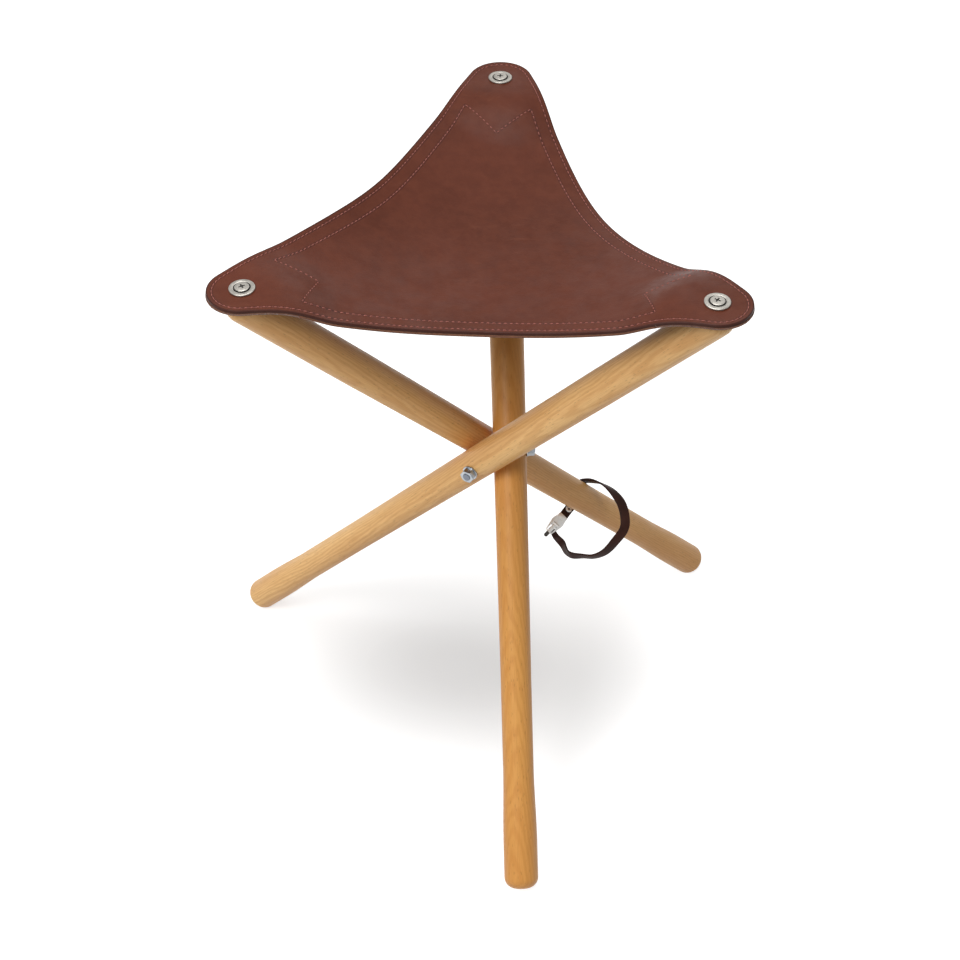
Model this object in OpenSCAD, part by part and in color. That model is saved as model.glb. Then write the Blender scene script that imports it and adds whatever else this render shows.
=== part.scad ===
// Tripod folding stool: three turned legs on a three-armed bolt, under a leather sling seat.
// Millimetres, +Z up. The origin is on the floor, under the middle of the three-armed bolt.
// +Y points to the rear corner of the seat.

/* [Legs] */
// Lean of each leg from the vertical when the stool stands open, in degrees
open_angle = 41.5; // [36:0.5:45]
// Distance along a leg from the bolt up to the centre of its domed top
upper_length = 367; // [330:1:400]
// Distance along a leg from the bolt down to the end of its foot
lower_length = 455; // [430:1:490]
// Diameter of a leg at its top
leg_top_d = 36.4; // [34:0.2:37]
// Diameter of a leg at its waist, below the bolt
leg_waist_d = 31.8; // [29:0.2:33]
// Diameter of a leg at its foot
leg_foot_d = 35.2; // [33:0.2:38]
// Rounding of the rim of the foot
foot_round = 11; // [6:0.5:14]
// Length of the straight, parallel part of the foot, rounding included
foot_length = 50; // [40:1:60]
// Length over which the foot narrows to the waist
foot_taper = 75; // [50:1:100]
// Length of the parallel waist
waist_length = 90; // [60:1:120]
// Distance below the end of the domed top at which a leg reaches its full top diameter
top_parallel = 167; // [120:1:200]

/* [Bolt] */
// Distance from the middle of the bolt to the centre line of a leg
arm_reach = 22; // [22:0.1:24]
// Thread diameter of the bolt's arms
thread_d = 8; // [6:0.5:8]
// Diameter of the bolt's middle knuckle
knuckle_d = 10; // [9:0.1:10.4]
// Length of thread that shows beyond the nut
thread_show = 0.6; // [0.2:0.1:2]
// Diameter of the washer outside a leg
washer_d = 16; // [14:0.5:18]
// Thickness of the washer outside a leg
washer_t = 1.6; // [1:0.1:2]
// Width of a nut across its flats
nut_width = 13; // [12:0.1:14]
// Height of a nut
nut_height = 6.8; // [5:0.1:8]

/* [Seat] */
// Thickness of the seat's top leather
seat_t = 2.8; // [2.3:0.1:3.5]
// Thickness of the leather patches and strips under the edge
lining_t = 2.4; // [2:0.1:3]
// Radius of the seat's corners, round the screws
corner_round = 32.5; // [28:0.5:36]
// Distance that the middle of each edge lies outside the line from screw to screw
edge_bow = 7.5; // [0:0.5:10]
// Share of the edge over which it bends at its middle
edge_bend = 0.27; // [0.2:0.01:0.5]
// Depth of the seat's middle below its screws
seat_sag = 49; // [30:1:60]
// Further drop of the middle of the front edge
front_drop = 3; // [0:1:20]
// Further drop of the middle of the back right edge
right_drop = 15; // [5:1:27]
// Rise of the middle of the back left edge, which hangs tightest
left_rise = 17; // [0:1:18]
// Width of the hollow round the seat's lowest point
hollow_width = 105; // [60:1:110]
// Outward lean of the leather on the leg tops, in degrees
corner_lean = 1.5; // [0:0.5:8]
// Radius of the flat leather round each screw
corner_flat = 15.5; // [15:0.5:20]
// Radius from a screw at which the leather hangs free
corner_free = 90; // [85:1:105]
// Width of the strips under the edge
strip_width = 21; // [16:0.5:24]
// Length of a corner patch along the edge, from its screw
patch_length = 55; // [48:1:62]
// Distance from a screw to the point of its corner patch
patch_point = 80; // [74:1:90]

/* [Corner screws] */
// Diameter of a corner screw
screw_d = 6; // [5:0.1:6.4]
// Length of a corner screw in the wood
screw_bite = 26; // [18:1:28]
// Diameter of a screw head
head_d = 13.6; // [12:0.1:14]
// Height of a screw head
head_h = 2.4; // [2:0.1:3.5]
// Outer diameter of a cup washer
cup_d = 24; // [21:0.2:26]
// Height of a cup washer's rolled ring
cup_h = 2.2; // [1.8:0.1:3]
// Thickness of a cup washer under the screw head
cup_floor = 0.9; // [0.7:0.1:1.2]
// Height from the flat of a leg's top down to the centre of its dome
dome_flat = 11; // [9:0.5:13]

/* [Strap] */
// Width of the strap
strap_width = 10.4; // [9:0.2:11]
// Thickness of the strap
strap_t = 2; // [1.4:0.1:2.4]
// Length of the clasp beyond the strap's end
clasp_length = 22.5; // [22.2:0.1:23]
// Width of the clasp across its shoulders
clasp_width = 14.4; // [13:0.2:15.2]
// Length of the clasp's lever
lever_length = 20; // [17:0.5:21]
// Outer diameter of the eyelet on the strap's end
eyelet_d = 7.4; // [6:0.2:8]

/* [Fits] */
// Radial clearance of parts that turn or slide in each other
running_gap = 0.05; // [0.02:0.01:0.1]
// Gap between leather and what it lies on
leather_gap = 0.3; // [0.2:0.05:0.5]
// Gap between a leg and the faces that guide it on the bolt
leg_gap = 0.1; // [0.05:0.05:0.3]

/* [Hidden] */

RIGHT = 0;
REAR = 1;
LEFT = 2;
BACK_RIGHT = 0;
BACK_LEFT = 1;
FRONT = 2;

// Angle from a corner of the seat to the middle of the next edge
corner_to_edge = 60;
// Directions of the seat's corners and of the middles of its edges
corner_az = [-30, 90, 210];
edge_az = [30, 150, 270];
edge_lift = [-right_drop, left_rise, -front_drop];

leather = [0.43, 0.25, 0.20];
lining = [0.30, 0.17, 0.13];
beech = [0.85, 0.68, 0.46];
zinc = [0.70, 0.72, 0.74];
nickel = [0.78, 0.77, 0.74];
strap_brown = [0.20, 0.11, 0.08];

// Legs
leg_top_r = leg_top_d / 2;
leg_waist_r = leg_waist_d / 2;
leg_foot_r = leg_foot_d / 2;
waist_top = -lower_length + foot_length + foot_taper + waist_length;
full_top = upper_length - top_parallel;
leg_r_at_bolt = leg_waist_r + (leg_top_r - leg_waist_r) * (0 - waist_top) / (full_top - waist_top);
hub_z = (lower_length - foot_round) * cos(open_angle)
    + (leg_foot_r - foot_round) * sin(open_angle) + foot_round;
twist = atan2(upper_length * sin(open_angle), arm_reach);

// Bolt, measured outwards along an arm from its middle
knuckle_end = arm_reach - leg_r_at_bolt - leg_gap;
washer_start = arm_reach + leg_r_at_bolt + leg_gap;
nut_start = washer_start + washer_t;
thread_end = nut_start + nut_height + thread_show;

// Seat, with a screw's place on top of the leather given by its radius and height
stack = seat_t + lining_t + 2 * leather_gap;
screw_rise = dome_flat + stack;
screw_r = norm([arm_reach, upper_length * sin(open_angle)]) + screw_rise * sin(corner_lean);
screw_z = hub_z + upper_length * cos(open_angle) + screw_rise * cos(corner_lean);
half_edge = screw_r * sin(corner_to_edge);
edge_dist = screw_r * cos(corner_to_edge);

// Corner screws, with room for a screw's head in its washer's recess
recess_play = 0.9;
cup_recess_r = head_d / 2 + recess_play;
cup_hole_r = screw_d / 2 + running_gap;
leather_hole_d = screw_d + 1;
pilot_d = screw_d + 2 * running_gap;
screw_tip = 5;

function lerp(a, b, f) = a + (b - a) * f;
function clamp01(v) = max(0, min(1, v));
function smooth(v) = let (c = clamp01(v)) c * c * (3 - 2 * c);
function flat_dir(az) = [cos(az), sin(az)];
function turn(p, az) = [p[0] * cos(az) - p[1] * sin(az), p[0] * sin(az) + p[1] * cos(az)];

// Height of the seat's top surface above the point p of the plan
function bent(t, e) = (sqrt(t * t + e * e) - e) / (sqrt(1 + e * e) - e);
function ridge(d) = sqrt(d * d + hollow_width * hollow_width);
function ridges(p) = ridge(p * flat_dir(corner_az[0])) + ridge(p * flat_dir(corner_az[1]))
    + ridge(p * flat_dir(corner_az[2])) - 3 * hollow_width;
ridges_at_screw = ridge(screw_r) + 2 * ridge(edge_dist) - 3 * hollow_width;
function lift(p, k) = let (
        out = max(0, p * flat_dir(edge_az[k])) / edge_dist,
        along = (p * flat_dir(edge_az[k] - 90)) / half_edge
    ) edge_lift[k] * out * out * pow(max(0, 1 - along * along), 2);
function hanging(p) = -seat_sag * (1 - ridges(p) / ridges_at_screw) + lift(p, 0) + lift(p, 1) + lift(p, 2);
function lying(p, i) = -(p * flat_dir(corner_az[i]) - screw_r) * tan(corner_lean);
function free(p, i) = smooth(
    (norm(p - screw_r * flat_dir(corner_az[i])) - corner_flat) / (corner_free - corner_flat));
function seat_height(p) = screw_z + hanging(p) * free(p, 0) * free(p, 1) * free(p, 2)
    + lying(p, 0) * (1 - free(p, 0)) + lying(p, 1) * (1 - free(p, 1)) + lying(p, 2) * (1 - free(p, 2));
function on_seat(p, down) = [p[0], p[1], seat_height(p) - down];

// Outline of the seat: the half of it between the corner on +X and the middle of the next edge
bend_slope = 1 / (sqrt(1 + edge_bend * edge_bend) * (sqrt(1 + edge_bend * edge_bend) - edge_bend));
corner_turn = atan((corner_round - edge_bow) * bend_slope / half_edge);
edge_end = half_edge - corner_round * sin(corner_turn);
edge_end_out = corner_round * cos(corner_turn);
function arc_point(f) = let (a = f * (corner_to_edge + corner_turn))
    [screw_r + corner_round * cos(a), corner_round * sin(a)];
function edge_point(t, inward = 0) = let (
        out = edge_dist + lerp(edge_bow, edge_end_out, bent(t, edge_bend)) - inward
    ) out * flat_dir(corner_to_edge) + t * edge_end * flat_dir(corner_to_edge - 90);
patch_t = 1 - (patch_length - corner_round * sin(corner_turn)) / edge_end;

// One grid serves the seat, its patches and its strips. A corner's rows are arrowheads from its
// tip to the seat's middle, each from edge to edge; one of them is the pointed end of the patch.
arc_rows = 4;
patch_rows = 5;
open_rows = 6;
patch_last = arc_rows - 1 + patch_rows;
row_last = patch_last + open_rows;
inner_columns = 4;
hem_columns = 2;
half_columns = inner_columns + hem_columns;
least_hem = 0.7;
function row_side(j) = j < arc_rows ? arc_point((j + 1) / arc_rows)
    : j < patch_last ? edge_point(lerp(1, patch_t, (j - arc_rows + 1) / patch_rows))
    : edge_point(patch_t * (1 - (j - patch_last) / open_rows));
function row_middle(j) = j < patch_last
    ? lerp(screw_r + corner_round, screw_r - patch_point, j / patch_last)
    : (screw_r - patch_point) * (1 - (j - patch_last) / open_rows);
function hem_share(j) = let (reach = (row_side(j) - [row_middle(j), 0]) * flat_dir(corner_to_edge))
    reach > strip_width ? max(least_hem, 1 - strip_width / reach) : least_hem;
function column_share(j, s) = s <= inner_columns ? hem_share(j) * s / inner_columns
    : lerp(hem_share(j), 1, (s - inner_columns) / hem_columns);
function grid_point(i, j, c) = let (
        s = c - half_columns,
        share = column_share(j, abs(s)),
        side = row_side(j)
    ) turn([lerp(row_middle(j), side[0], share), sign(s) * share * side[1]], corner_az[i]);

// Closed sheet over a grid of plan points, rows by columns, at a depth under the seat's top
module sheet(grid, top, thickness) {
    rows = len(grid);
    cols = len(grid[0]);
    count = rows * cols;
    upper = [for (row = grid) for (p = row) on_seat(p, top)];
    lower = [for (row = grid) for (p = row) on_seat(p, top + thickness)];
    rim = concat(
        [for (c = [0 : cols - 1]) c],
        [for (r = [1 : rows - 1]) r * cols + cols - 1],
        [for (c = [cols - 2 : -1 : 0]) (rows - 1) * cols + c],
        [for (r = [rows - 2 : -1 : 1]) r * cols]);
    n = len(rim);
    faces = concat(
        [for (r = [0 : rows - 2]) for (c = [0 : cols - 2]) let (a = r * cols + c)
            each [[a, a + cols, a + cols + 1], [a, a + cols + 1, a + 1]]],
        [for (r = [0 : rows - 2]) for (c = [0 : cols - 2]) let (a = count + r * cols + c)
            each [[a, a + cols + 1, a + cols], [a, a + 1, a + cols + 1]]],
        [for (i = [0 : n - 1]) let (a = rim[i], b = rim[(i + 1) % n])
            each [[a, b, b + count], [a, b + count, a + count]]]);
    polyhedron(points = concat(upper, lower), faces = faces, convexity = 6);
}

// The seat's top leather: the grids of the three corners, joined along their last rows
module seat_body() {
    cols = 2 * half_columns + 1;
    one_corner = row_last * cols + half_columns;
    count = 3 * one_corner + 1;
    function at(i, j, c) = j < row_last ? i * one_corner + j * cols + c
        : c > half_columns ? i * one_corner + row_last * cols + c - half_columns - 1
        : c < half_columns ? ((i + 2) % 3) * one_corner + row_last * cols + half_columns - 1 - c
        : count - 1;
    plan = concat(
        [for (i = [RIGHT, REAR, LEFT]) each concat(
            [for (j = [0 : row_last - 1]) for (c = [0 : cols - 1]) grid_point(i, j, c)],
            [for (c = [half_columns + 1 : cols - 1]) grid_point(i, row_last, c)])],
        [[0, 0]]);
    faces = [for (i = [RIGHT, REAR, LEFT]) each concat(
        [for (j = [0 : row_last - 1]) for (c = [0 : cols - 2]) let (
                a = at(i, j, c), b = at(i, j + 1, c), d = at(i, j + 1, c + 1), e = at(i, j, c + 1)
            ) each [[a, b, d], [a, d, e],
                [a + count, d + count, b + count], [a + count, e + count, d + count]]],
        [for (c = [0 : cols - 2]) let (a = at(i, 0, c), b = at(i, 0, c + 1))
            each [[a, b, b + count], [a, b + count, a + count]]],
        [for (j = [0 : row_last - 1]) let (a = at(i, j, cols - 1), b = at(i, j + 1, cols - 1))
            each [[a, b, b + count], [a, b + count, a + count]]],
        [for (j = [0 : row_last - 1]) let (a = at(i, j + 1, 0), b = at(i, j, 0))
            each [[a, b, b + count], [a, b + count, a + count]]])];
    polyhedron(points = [for (down = [0, seat_t]) for (p = plan) on_seat(p, down)],
        faces = faces, convexity = 8);
}

module at_corner(i)
    rotate([0, 0, corner_az[i]]) translate([screw_r, 0, screw_z]) rotate([0, corner_lean, 0]) children();

module at_leg(i)
    rotate([0, 0, corner_az[i] - twist]) translate([arm_reach, 0, hub_z])
        rotate([-open_angle, 0, 0]) children();

module at_arm(i)
    rotate([0, 0, corner_az[i] - twist]) translate([0, 0, hub_z]) rotate([0, 90, 0]) children();

module seat_leather() color(leather) difference() {
    seat_body();
    for (i = [RIGHT, REAR, LEFT]) at_corner(i)
        translate([0, 0, -2 * seat_t]) cylinder(d = leather_hole_d, h = 4 * seat_t, $fn = 32);
}

// A corner patch runs round the corner and ends in a point towards the middle of the seat
module corner_patch(i) color(lining) difference() {
    grid = [for (j = [0 : patch_last]) [for (c = [0 : 2 * half_columns]) grid_point(i, j, c)]];
    sheet(grid, seat_t + leather_gap, lining_t);
    at_corner(i) translate([0, 0, -3 * stack]) cylinder(d = leather_hole_d, h = 4 * stack, $fn = 32);
}

// An edge strip runs between two corner patches, with a gap at each end
strip_start = patch_last + leather_gap * open_rows / (patch_t * edge_end);
module edge_strip(k) color(lining) {
    rows = concat([strip_start], [for (j = [patch_last + 1 : row_last]) j]);
    grid = concat(
        [for (j = rows) [for (s = [inner_columns : half_columns]) grid_point(k, j, half_columns + s)]],
        [for (n = [len(rows) - 2 : -1 : 0]) [for (s = [inner_columns : half_columns])
            grid_point((k + 1) % 3, rows[n], half_columns - s)]]);
    sheet(grid, seat_t + leather_gap, lining_t);
}

// Outline of a turned leg, from the end of its foot up to the crown of its dome
round_steps = 8;
taper_steps = 8;
dome_steps = 12;
leg_profile = concat(
    [[0, -lower_length]],
    [for (i = [0 : round_steps]) let (a = 90 * i / round_steps)
        [leg_foot_r - foot_round + foot_round * sin(a), -lower_length + foot_round - foot_round * cos(a)]],
    [for (i = [0 : taper_steps]) let (f = i / taper_steps)
        [lerp(leg_foot_r, leg_waist_r, smooth(f)), -lower_length + foot_length + foot_taper * f]],
    [[leg_waist_r, waist_top]],
    [[leg_top_r, full_top]],
    [for (i = [0 : dome_steps]) let (a = 90 * i / dome_steps)
        [leg_top_r * cos(a), upper_length + leg_top_r * sin(a)]]);

module leg(i) color(beech) difference() {
    at_leg(i) rotate_extrude($fn = 96) polygon(leg_profile);
    at_leg(i) rotate([0, 90, 0])
        cylinder(d = thread_d + 2 * running_gap, h = 2 * leg_top_d, center = true, $fn = 48);
    at_corner(i) translate([-leg_top_d, -leg_top_d, -stack]) cube(2 * leg_top_d);
    at_corner(i) translate([0, 0, -stack - screw_bite])
        cylinder(d = pilot_d, h = 2 * stack + screw_bite, $fn = 48);
    at_corner(i) translate([0, 0, -stack - screw_bite - screw_tip])
        cylinder(d1 = 2 * running_gap, d2 = pilot_d, h = screw_tip, $fn = 48);
}

module tripod_bolt() color(zinc) {
    translate([0, 0, hub_z]) sphere(d = knuckle_d, $fn = 64);
    for (i = [RIGHT, REAR, LEFT]) at_arm(i) {
        cylinder(d = knuckle_d, h = knuckle_end, $fn = 48);
        cylinder(d = thread_d, h = thread_end, $fn = 48);
    }
}

module bolt_washer(i) color(zinc) at_arm(i) translate([0, 0, washer_start]) difference() {
    cylinder(d = washer_d, h = washer_t, $fn = 64);
    translate([0, 0, -1]) cylinder(d = thread_d + 2 * running_gap, h = washer_t + 2, $fn = 48);
}

nut_chamfer = 0.6;
module bolt_nut(i) color(zinc) at_arm(i) translate([0, 0, nut_start]) difference() {
    intersection() {
        rotate([0, 0, 30]) cylinder(d = nut_width / cos(30), h = nut_height, $fn = 6);
        rotate_extrude($fn = 64) polygon([
            [0, 0],
            [nut_width / 2, 0],
            [nut_width / 2 + 2 * nut_chamfer, nut_chamfer],
            [nut_width / 2 + 2 * nut_chamfer, nut_height - nut_chamfer],
            [nut_width / 2, nut_height],
            [0, nut_height]]);
    }
    translate([0, 0, -1]) cylinder(d = thread_d + 2 * running_gap, h = nut_height + 2, $fn = 48);
}

// A cup washer is a rolled ring with a low floor for the screw head
ring_r = (cup_d / 2 - cup_recess_r) / 2;
ring_steps = 10;
// Share of the ring's height that stands upright at its rim
ring_wall = 0.7;
module cup_washer(i) color(nickel) at_corner(i) translate([0, 0, leather_gap]) rotate_extrude($fn = 96)
    polygon(concat(
        [[cup_hole_r, 0]],
        [[cup_d / 2, 0]],
        [for (j = [0 : ring_steps - 1]) let (a = 180 * j / ring_steps)
            [cup_recess_r + ring_r * (1 + cos(a)), cup_h * lerp(ring_wall, 1, sin(a))]],
        [[cup_recess_r, cup_floor]],
        [[cup_hole_r, cup_floor]]));

head_seat = leather_gap + cup_floor;
cross_width = 1.5;
cross_length = 6;
cross_depth = 1.6;
crown_steps = 8;
// Share of the head's height that stands upright at its rim
crown_wall = 0.65;
// Clearance of the screw's point in its hole
tip_play = 0.2;
module seat_screw(i) color(nickel) at_corner(i) difference() {
    rotate_extrude($fn = 64) polygon(concat(
        [[0, -stack - screw_bite - screw_tip + tip_play]],
        [[screw_d / 2 - tip_play, -stack - screw_bite]],
        [[screw_d / 2, -stack - screw_bite + tip_play]],
        [[screw_d / 2, head_seat]],
        [[head_d / 2, head_seat]],
        [for (j = [0 : crown_steps]) let (a = 90 * j / crown_steps)
            [head_d / 2 * cos(a), head_seat + head_h * lerp(crown_wall, 1, sin(a))]]));
    for (turn_by = [0, 90]) rotate([0, 0, turn_by])
        translate([-cross_length / 2, -cross_width / 2, head_seat + head_h - cross_depth])
            cube([cross_length, cross_width, 2 * cross_depth]);
}

// The strap's route beside the left leg, from its cut end in the clasp's window round behind the leg
// to its other end in the clasp's jaws: distances along the leg, towards the stool's middle and up
strap_points = [
    [-197.1, -1.4, -47.7], [-202.6, -1.3, -49.5], [-208.4, 4.2, -52.7], [-212, 14, -53.5],
    [-212, 25, -56], [-211, 35.5, -54.5], [-213.5, 46, -46.5], [-217.5, 55, -38.5], [-220, 61, -25.5],
    [-220, 62, -8], [-219.5, 61, 6], [-216, 56, 16], [-210, 45, 25.5], [-204, 32.5, 29.5],
    [-199.5, 18.5, 29.5], [-198, 4.5, 25], [-200.5, -7.5, 18], [-203.5, -13.5, 13], [-207, -18, 3.5],
    [-208.5, -17.5, -6.5], [-209, -12.5, -13.5], [-209.6, -8.4, -16.6], [-208.4, -7.3, -20.5],
    [-205.7, -4.7, -29.3], [-204.8, -4.1, -32.1]
];
// Turn of the strap about its own length at each of those points: at zero its outer face looks
// straight away from the leg
strap_turns = [
    -95, -110, -100, -70, -50, -25, -5, 0, -10, -25, -35, -45, -35, -15, 0, 0, 0, 0, 0, 0, 0, 5, 20, 15, 2
];
strap_ring_steps = 3;
strap_last = len(strap_points) - 1;
strap_rings = strap_last * strap_ring_steps;
// Width of the strap's cut end in the clasp's window, and the number of points that it widens over
strap_tongue = 5.4;
strap_widens = 5;
// From distances along, towards the middle and up to the leg's own axes
function beside_leg(p) = [-p[1], -p[2], p[0]];
function unit(v) = v / norm(v);
function spline(p0, p1, p2, p3, f) = 0.5 * (2 * p1 + (p2 - p0) * f
    + (2 * p0 - 5 * p1 + 4 * p2 - p3) * f * f + (3 * p1 - p0 - 3 * p2 + p3) * f * f * f);
function along_strap(list, s) = let (i = min(floor(s), strap_last - 1))
    spline(list[max(i - 1, 0)], list[i], list[i + 1], list[min(i + 2, strap_last)], s - i);
strap_path = [for (j = [0 : strap_rings]) beside_leg(along_strap(strap_points, j / strap_ring_steps))];
function strap_ahead(j) = unit(strap_path[min(j + 1, strap_rings)] - strap_path[max(j - 1, 0)]);
function strap_out(j) = let (
        from_leg = [strap_path[j][0], strap_path[j][1], 0],
        ahead = strap_ahead(j),
        away = unit(from_leg - ahead * (from_leg * ahead)),
        turned = along_strap(strap_turns, j / strap_ring_steps)
    ) away * cos(turned) + cross(ahead, away) * sin(turned);

// At a ring of the strap's route: +Z runs on along it, +X looks towards its inner face
module at_strap(j) {
    x = -strap_out(j);
    z = strap_ahead(j);
    y = cross(z, x);
    at_leg(LEFT) multmatrix([
        [x[0], y[0], z[0], strap_path[j][0]],
        [x[1], y[1], z[1], strap_path[j][1]],
        [x[2], y[2], z[2], strap_path[j][2]]]) children();
}
eyelet_ring = strap_rings - 2 * strap_ring_steps;
module at_eyelet() at_strap(eyelet_ring) rotate([0, 90, 0]) children();

// The clasp's pin and lever lie on its -X side, which the strap's inner face looks at
module at_clasp() at_strap(strap_rings) rotate([0, 0, 180]) children();

eyelet_tube_d = 3.4;
eyelet_hole_d = 2.2;
eyelet_flange = 0.6;
// Room between a flange and the strap, which bends a little there
eyelet_gap = 0.45;
module strap() color(strap_brown) difference() {
    rings = [for (j = [0 : strap_rings]) let (
            p = strap_path[j],
            face = strap_out(j) * strap_t / 2,
            half = lerp(strap_tongue, strap_width, smooth(j / strap_ring_steps / strap_widens)) / 2,
            wide = cross(strap_ahead(j), strap_out(j)) * half
        ) each [p + face - wide, p + face + wide, p - face + wide, p - face - wide]];
    faces = concat(
        [[0, 2, 1], [0, 3, 2]],
        [for (j = [0 : strap_rings - 1]) for (k = [0 : 3]) let (a = 4 * j + k, b = 4 * j + (k + 1) % 4)
            each [[a, b + 4, a + 4], [a, b, b + 4]]],
        [let (a = 4 * strap_rings) each [[a, a + 1, a + 2], [a, a + 2, a + 3]]]);
    at_leg(LEFT) polyhedron(points = rings, faces = faces, convexity = 6);
    at_eyelet() cylinder(d = eyelet_tube_d + 2 * running_gap, h = 4 * strap_t, center = true, $fn = 32);
}

// A hollow eyelet with a flange on each face of the strap
module strap_eyelet() color(nickel) at_eyelet()
    difference() {
        union() {
            cylinder(d = eyelet_tube_d, h = strap_t + 2 * eyelet_gap + eyelet_flange, center = true, $fn = 32);
            for (side = [-1, 1]) translate([0, 0, side * (strap_t + 2 * eyelet_gap + eyelet_flange) / 2])
                cylinder(d = eyelet_d, h = eyelet_flange, center = true, $fn = 48);
        }
        cylinder(d = eyelet_hole_d, h = 4 * strap_t, center = true, $fn = 32);
    }

// Clasp: two jaws on the strap's end, a shield with a window, and two ears for the lever's pin
jaw_depth = 3;
jaw_wall = 1;
jaw_play = 0.5;
jaw_root = 3;
jaw_overhang = 0.4;
jaw_opening = strap_t + 2 * jaw_play;
jaw_width = strap_width + 2 * jaw_overhang;
plate_t = 2.4;
shoulder_start = 6;
shoulder_end = 9;
plate_end_width = 9.2;
end_chamfer = 1;
window_bar = 1.6;
window_length = 7;
window_width = 7;
window_start = clasp_length - window_bar - window_length;
pin_d = 1.6;
pin_at = 11;
// Room between the plate and the middle of the pin
pin_room = 2.4;
pin_back = plate_t / 2 + pin_room;
ear_t = 1.2;
ear_gap = 0.15;
ear_d = 3.4;
lever_width = 4.4;
lever_t = 1.2;
lever_rest = 15;
ear_inner = lever_width / 2 + ear_gap;
shield_side = [
    [jaw_width / 2, 0],
    [clasp_width / 2, shoulder_start],
    [clasp_width / 2, shoulder_end],
    [plate_end_width / 2, clasp_length - end_chamfer],
    [plate_end_width / 2 - end_chamfer, clasp_length]];
module clasp_body() color(nickel) at_clasp() difference() {
    union() {
        translate([-jaw_opening / 2 - jaw_wall, -jaw_width / 2, -jaw_depth])
            cube([jaw_opening + 2 * jaw_wall, jaw_width, jaw_depth + jaw_root]);
        translate([-plate_t / 2, 0, 0]) rotate([90, 0, 90]) linear_extrude(plate_t) polygon(concat(
            shield_side,
            [for (i = [len(shield_side) - 1 : -1 : 0]) [-shield_side[i][0], shield_side[i][1]]]));
        for (side = [-1, 1]) translate([0, side * (ear_inner + ear_t / 2), pin_at]) {
            translate([-pin_back, 0, 0]) rotate([90, 0, 0])
                cylinder(d = ear_d, h = ear_t, center = true, $fn = 32);
            translate([-pin_back / 2, 0, 0]) cube([pin_back, ear_t, ear_d], center = true);
        }
    }
    translate([-jaw_opening / 2, -jaw_width, -2 * jaw_depth])
        cube([jaw_opening, 2 * jaw_width, 2 * jaw_depth + jaw_play]);
    translate([-plate_t, -window_width / 2, window_start]) cube([2 * plate_t, window_width, window_length]);
    translate([-pin_back, 0, pin_at]) rotate([90, 0, 0])
        cylinder(d = pin_d, h = 2 * clasp_width, center = true, $fn = 32);
}

module clasp_pin() color(zinc) at_clasp() translate([-pin_back, 0, pin_at]) rotate([90, 0, 0])
    cylinder(d = pin_d, h = 2 * (ear_inner + ear_t), center = true, $fn = 32);

// The lever is a flat tongue with a rounded tip, turned on its pin away from the plate
module clasp_lever() color(nickel) at_clasp() translate([-pin_back, 0, pin_at])
    rotate([0, -lever_rest, 0]) difference() {
        union() {
            rotate([90, 0, 0]) cylinder(d = ear_d - 2 * ear_gap, h = lever_width, center = true, $fn = 32);
            translate([-lever_t / 2, -lever_width / 2, 0])
                cube([lever_t, lever_width, lever_length - lever_width / 2]);
            translate([-lever_t / 2, 0, lever_length - lever_width / 2]) rotate([0, 90, 0])
                cylinder(d = lever_width, h = lever_t, $fn = 32);
        }
        rotate([90, 0, 0]) cylinder(d = pin_d + 2 * running_gap, h = 2 * lever_width, center = true, $fn = 32);
    }

seat_leather();
corner_patch(RIGHT);  // corner_patch_right
corner_patch(REAR);  // corner_patch_rear
corner_patch(LEFT);  // corner_patch_left
edge_strip(FRONT);  // edge_strip_front
edge_strip(BACK_RIGHT);  // edge_strip_back_right
edge_strip(BACK_LEFT);  // edge_strip_back_left
leg(RIGHT);  // leg_right
leg(REAR);  // leg_rear
leg(LEFT);  // leg_left
tripod_bolt();
bolt_washer(RIGHT);  // bolt_washer_right
bolt_washer(REAR);  // bolt_washer_rear
bolt_washer(LEFT);  // bolt_washer_left
bolt_nut(RIGHT);  // bolt_nut_right
bolt_nut(REAR);  // bolt_nut_rear
bolt_nut(LEFT);  // bolt_nut_left
seat_screw(RIGHT);  // seat_screw_right
seat_screw(REAR);  // seat_screw_rear
seat_screw(LEFT);  // seat_screw_left
cup_washer(RIGHT);  // cup_washer_right
cup_washer(REAR);  // cup_washer_rear
cup_washer(LEFT);  // cup_washer_left
strap();
strap_eyelet();
clasp_body();
clasp_pin();
clasp_lever();
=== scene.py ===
"""Dresses the frame of a tripod folding stool with its leather, stitching, wood and metal."""

import math

import bmesh
import bpy
import numpy as np
from mathutils import Matrix, Vector


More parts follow.
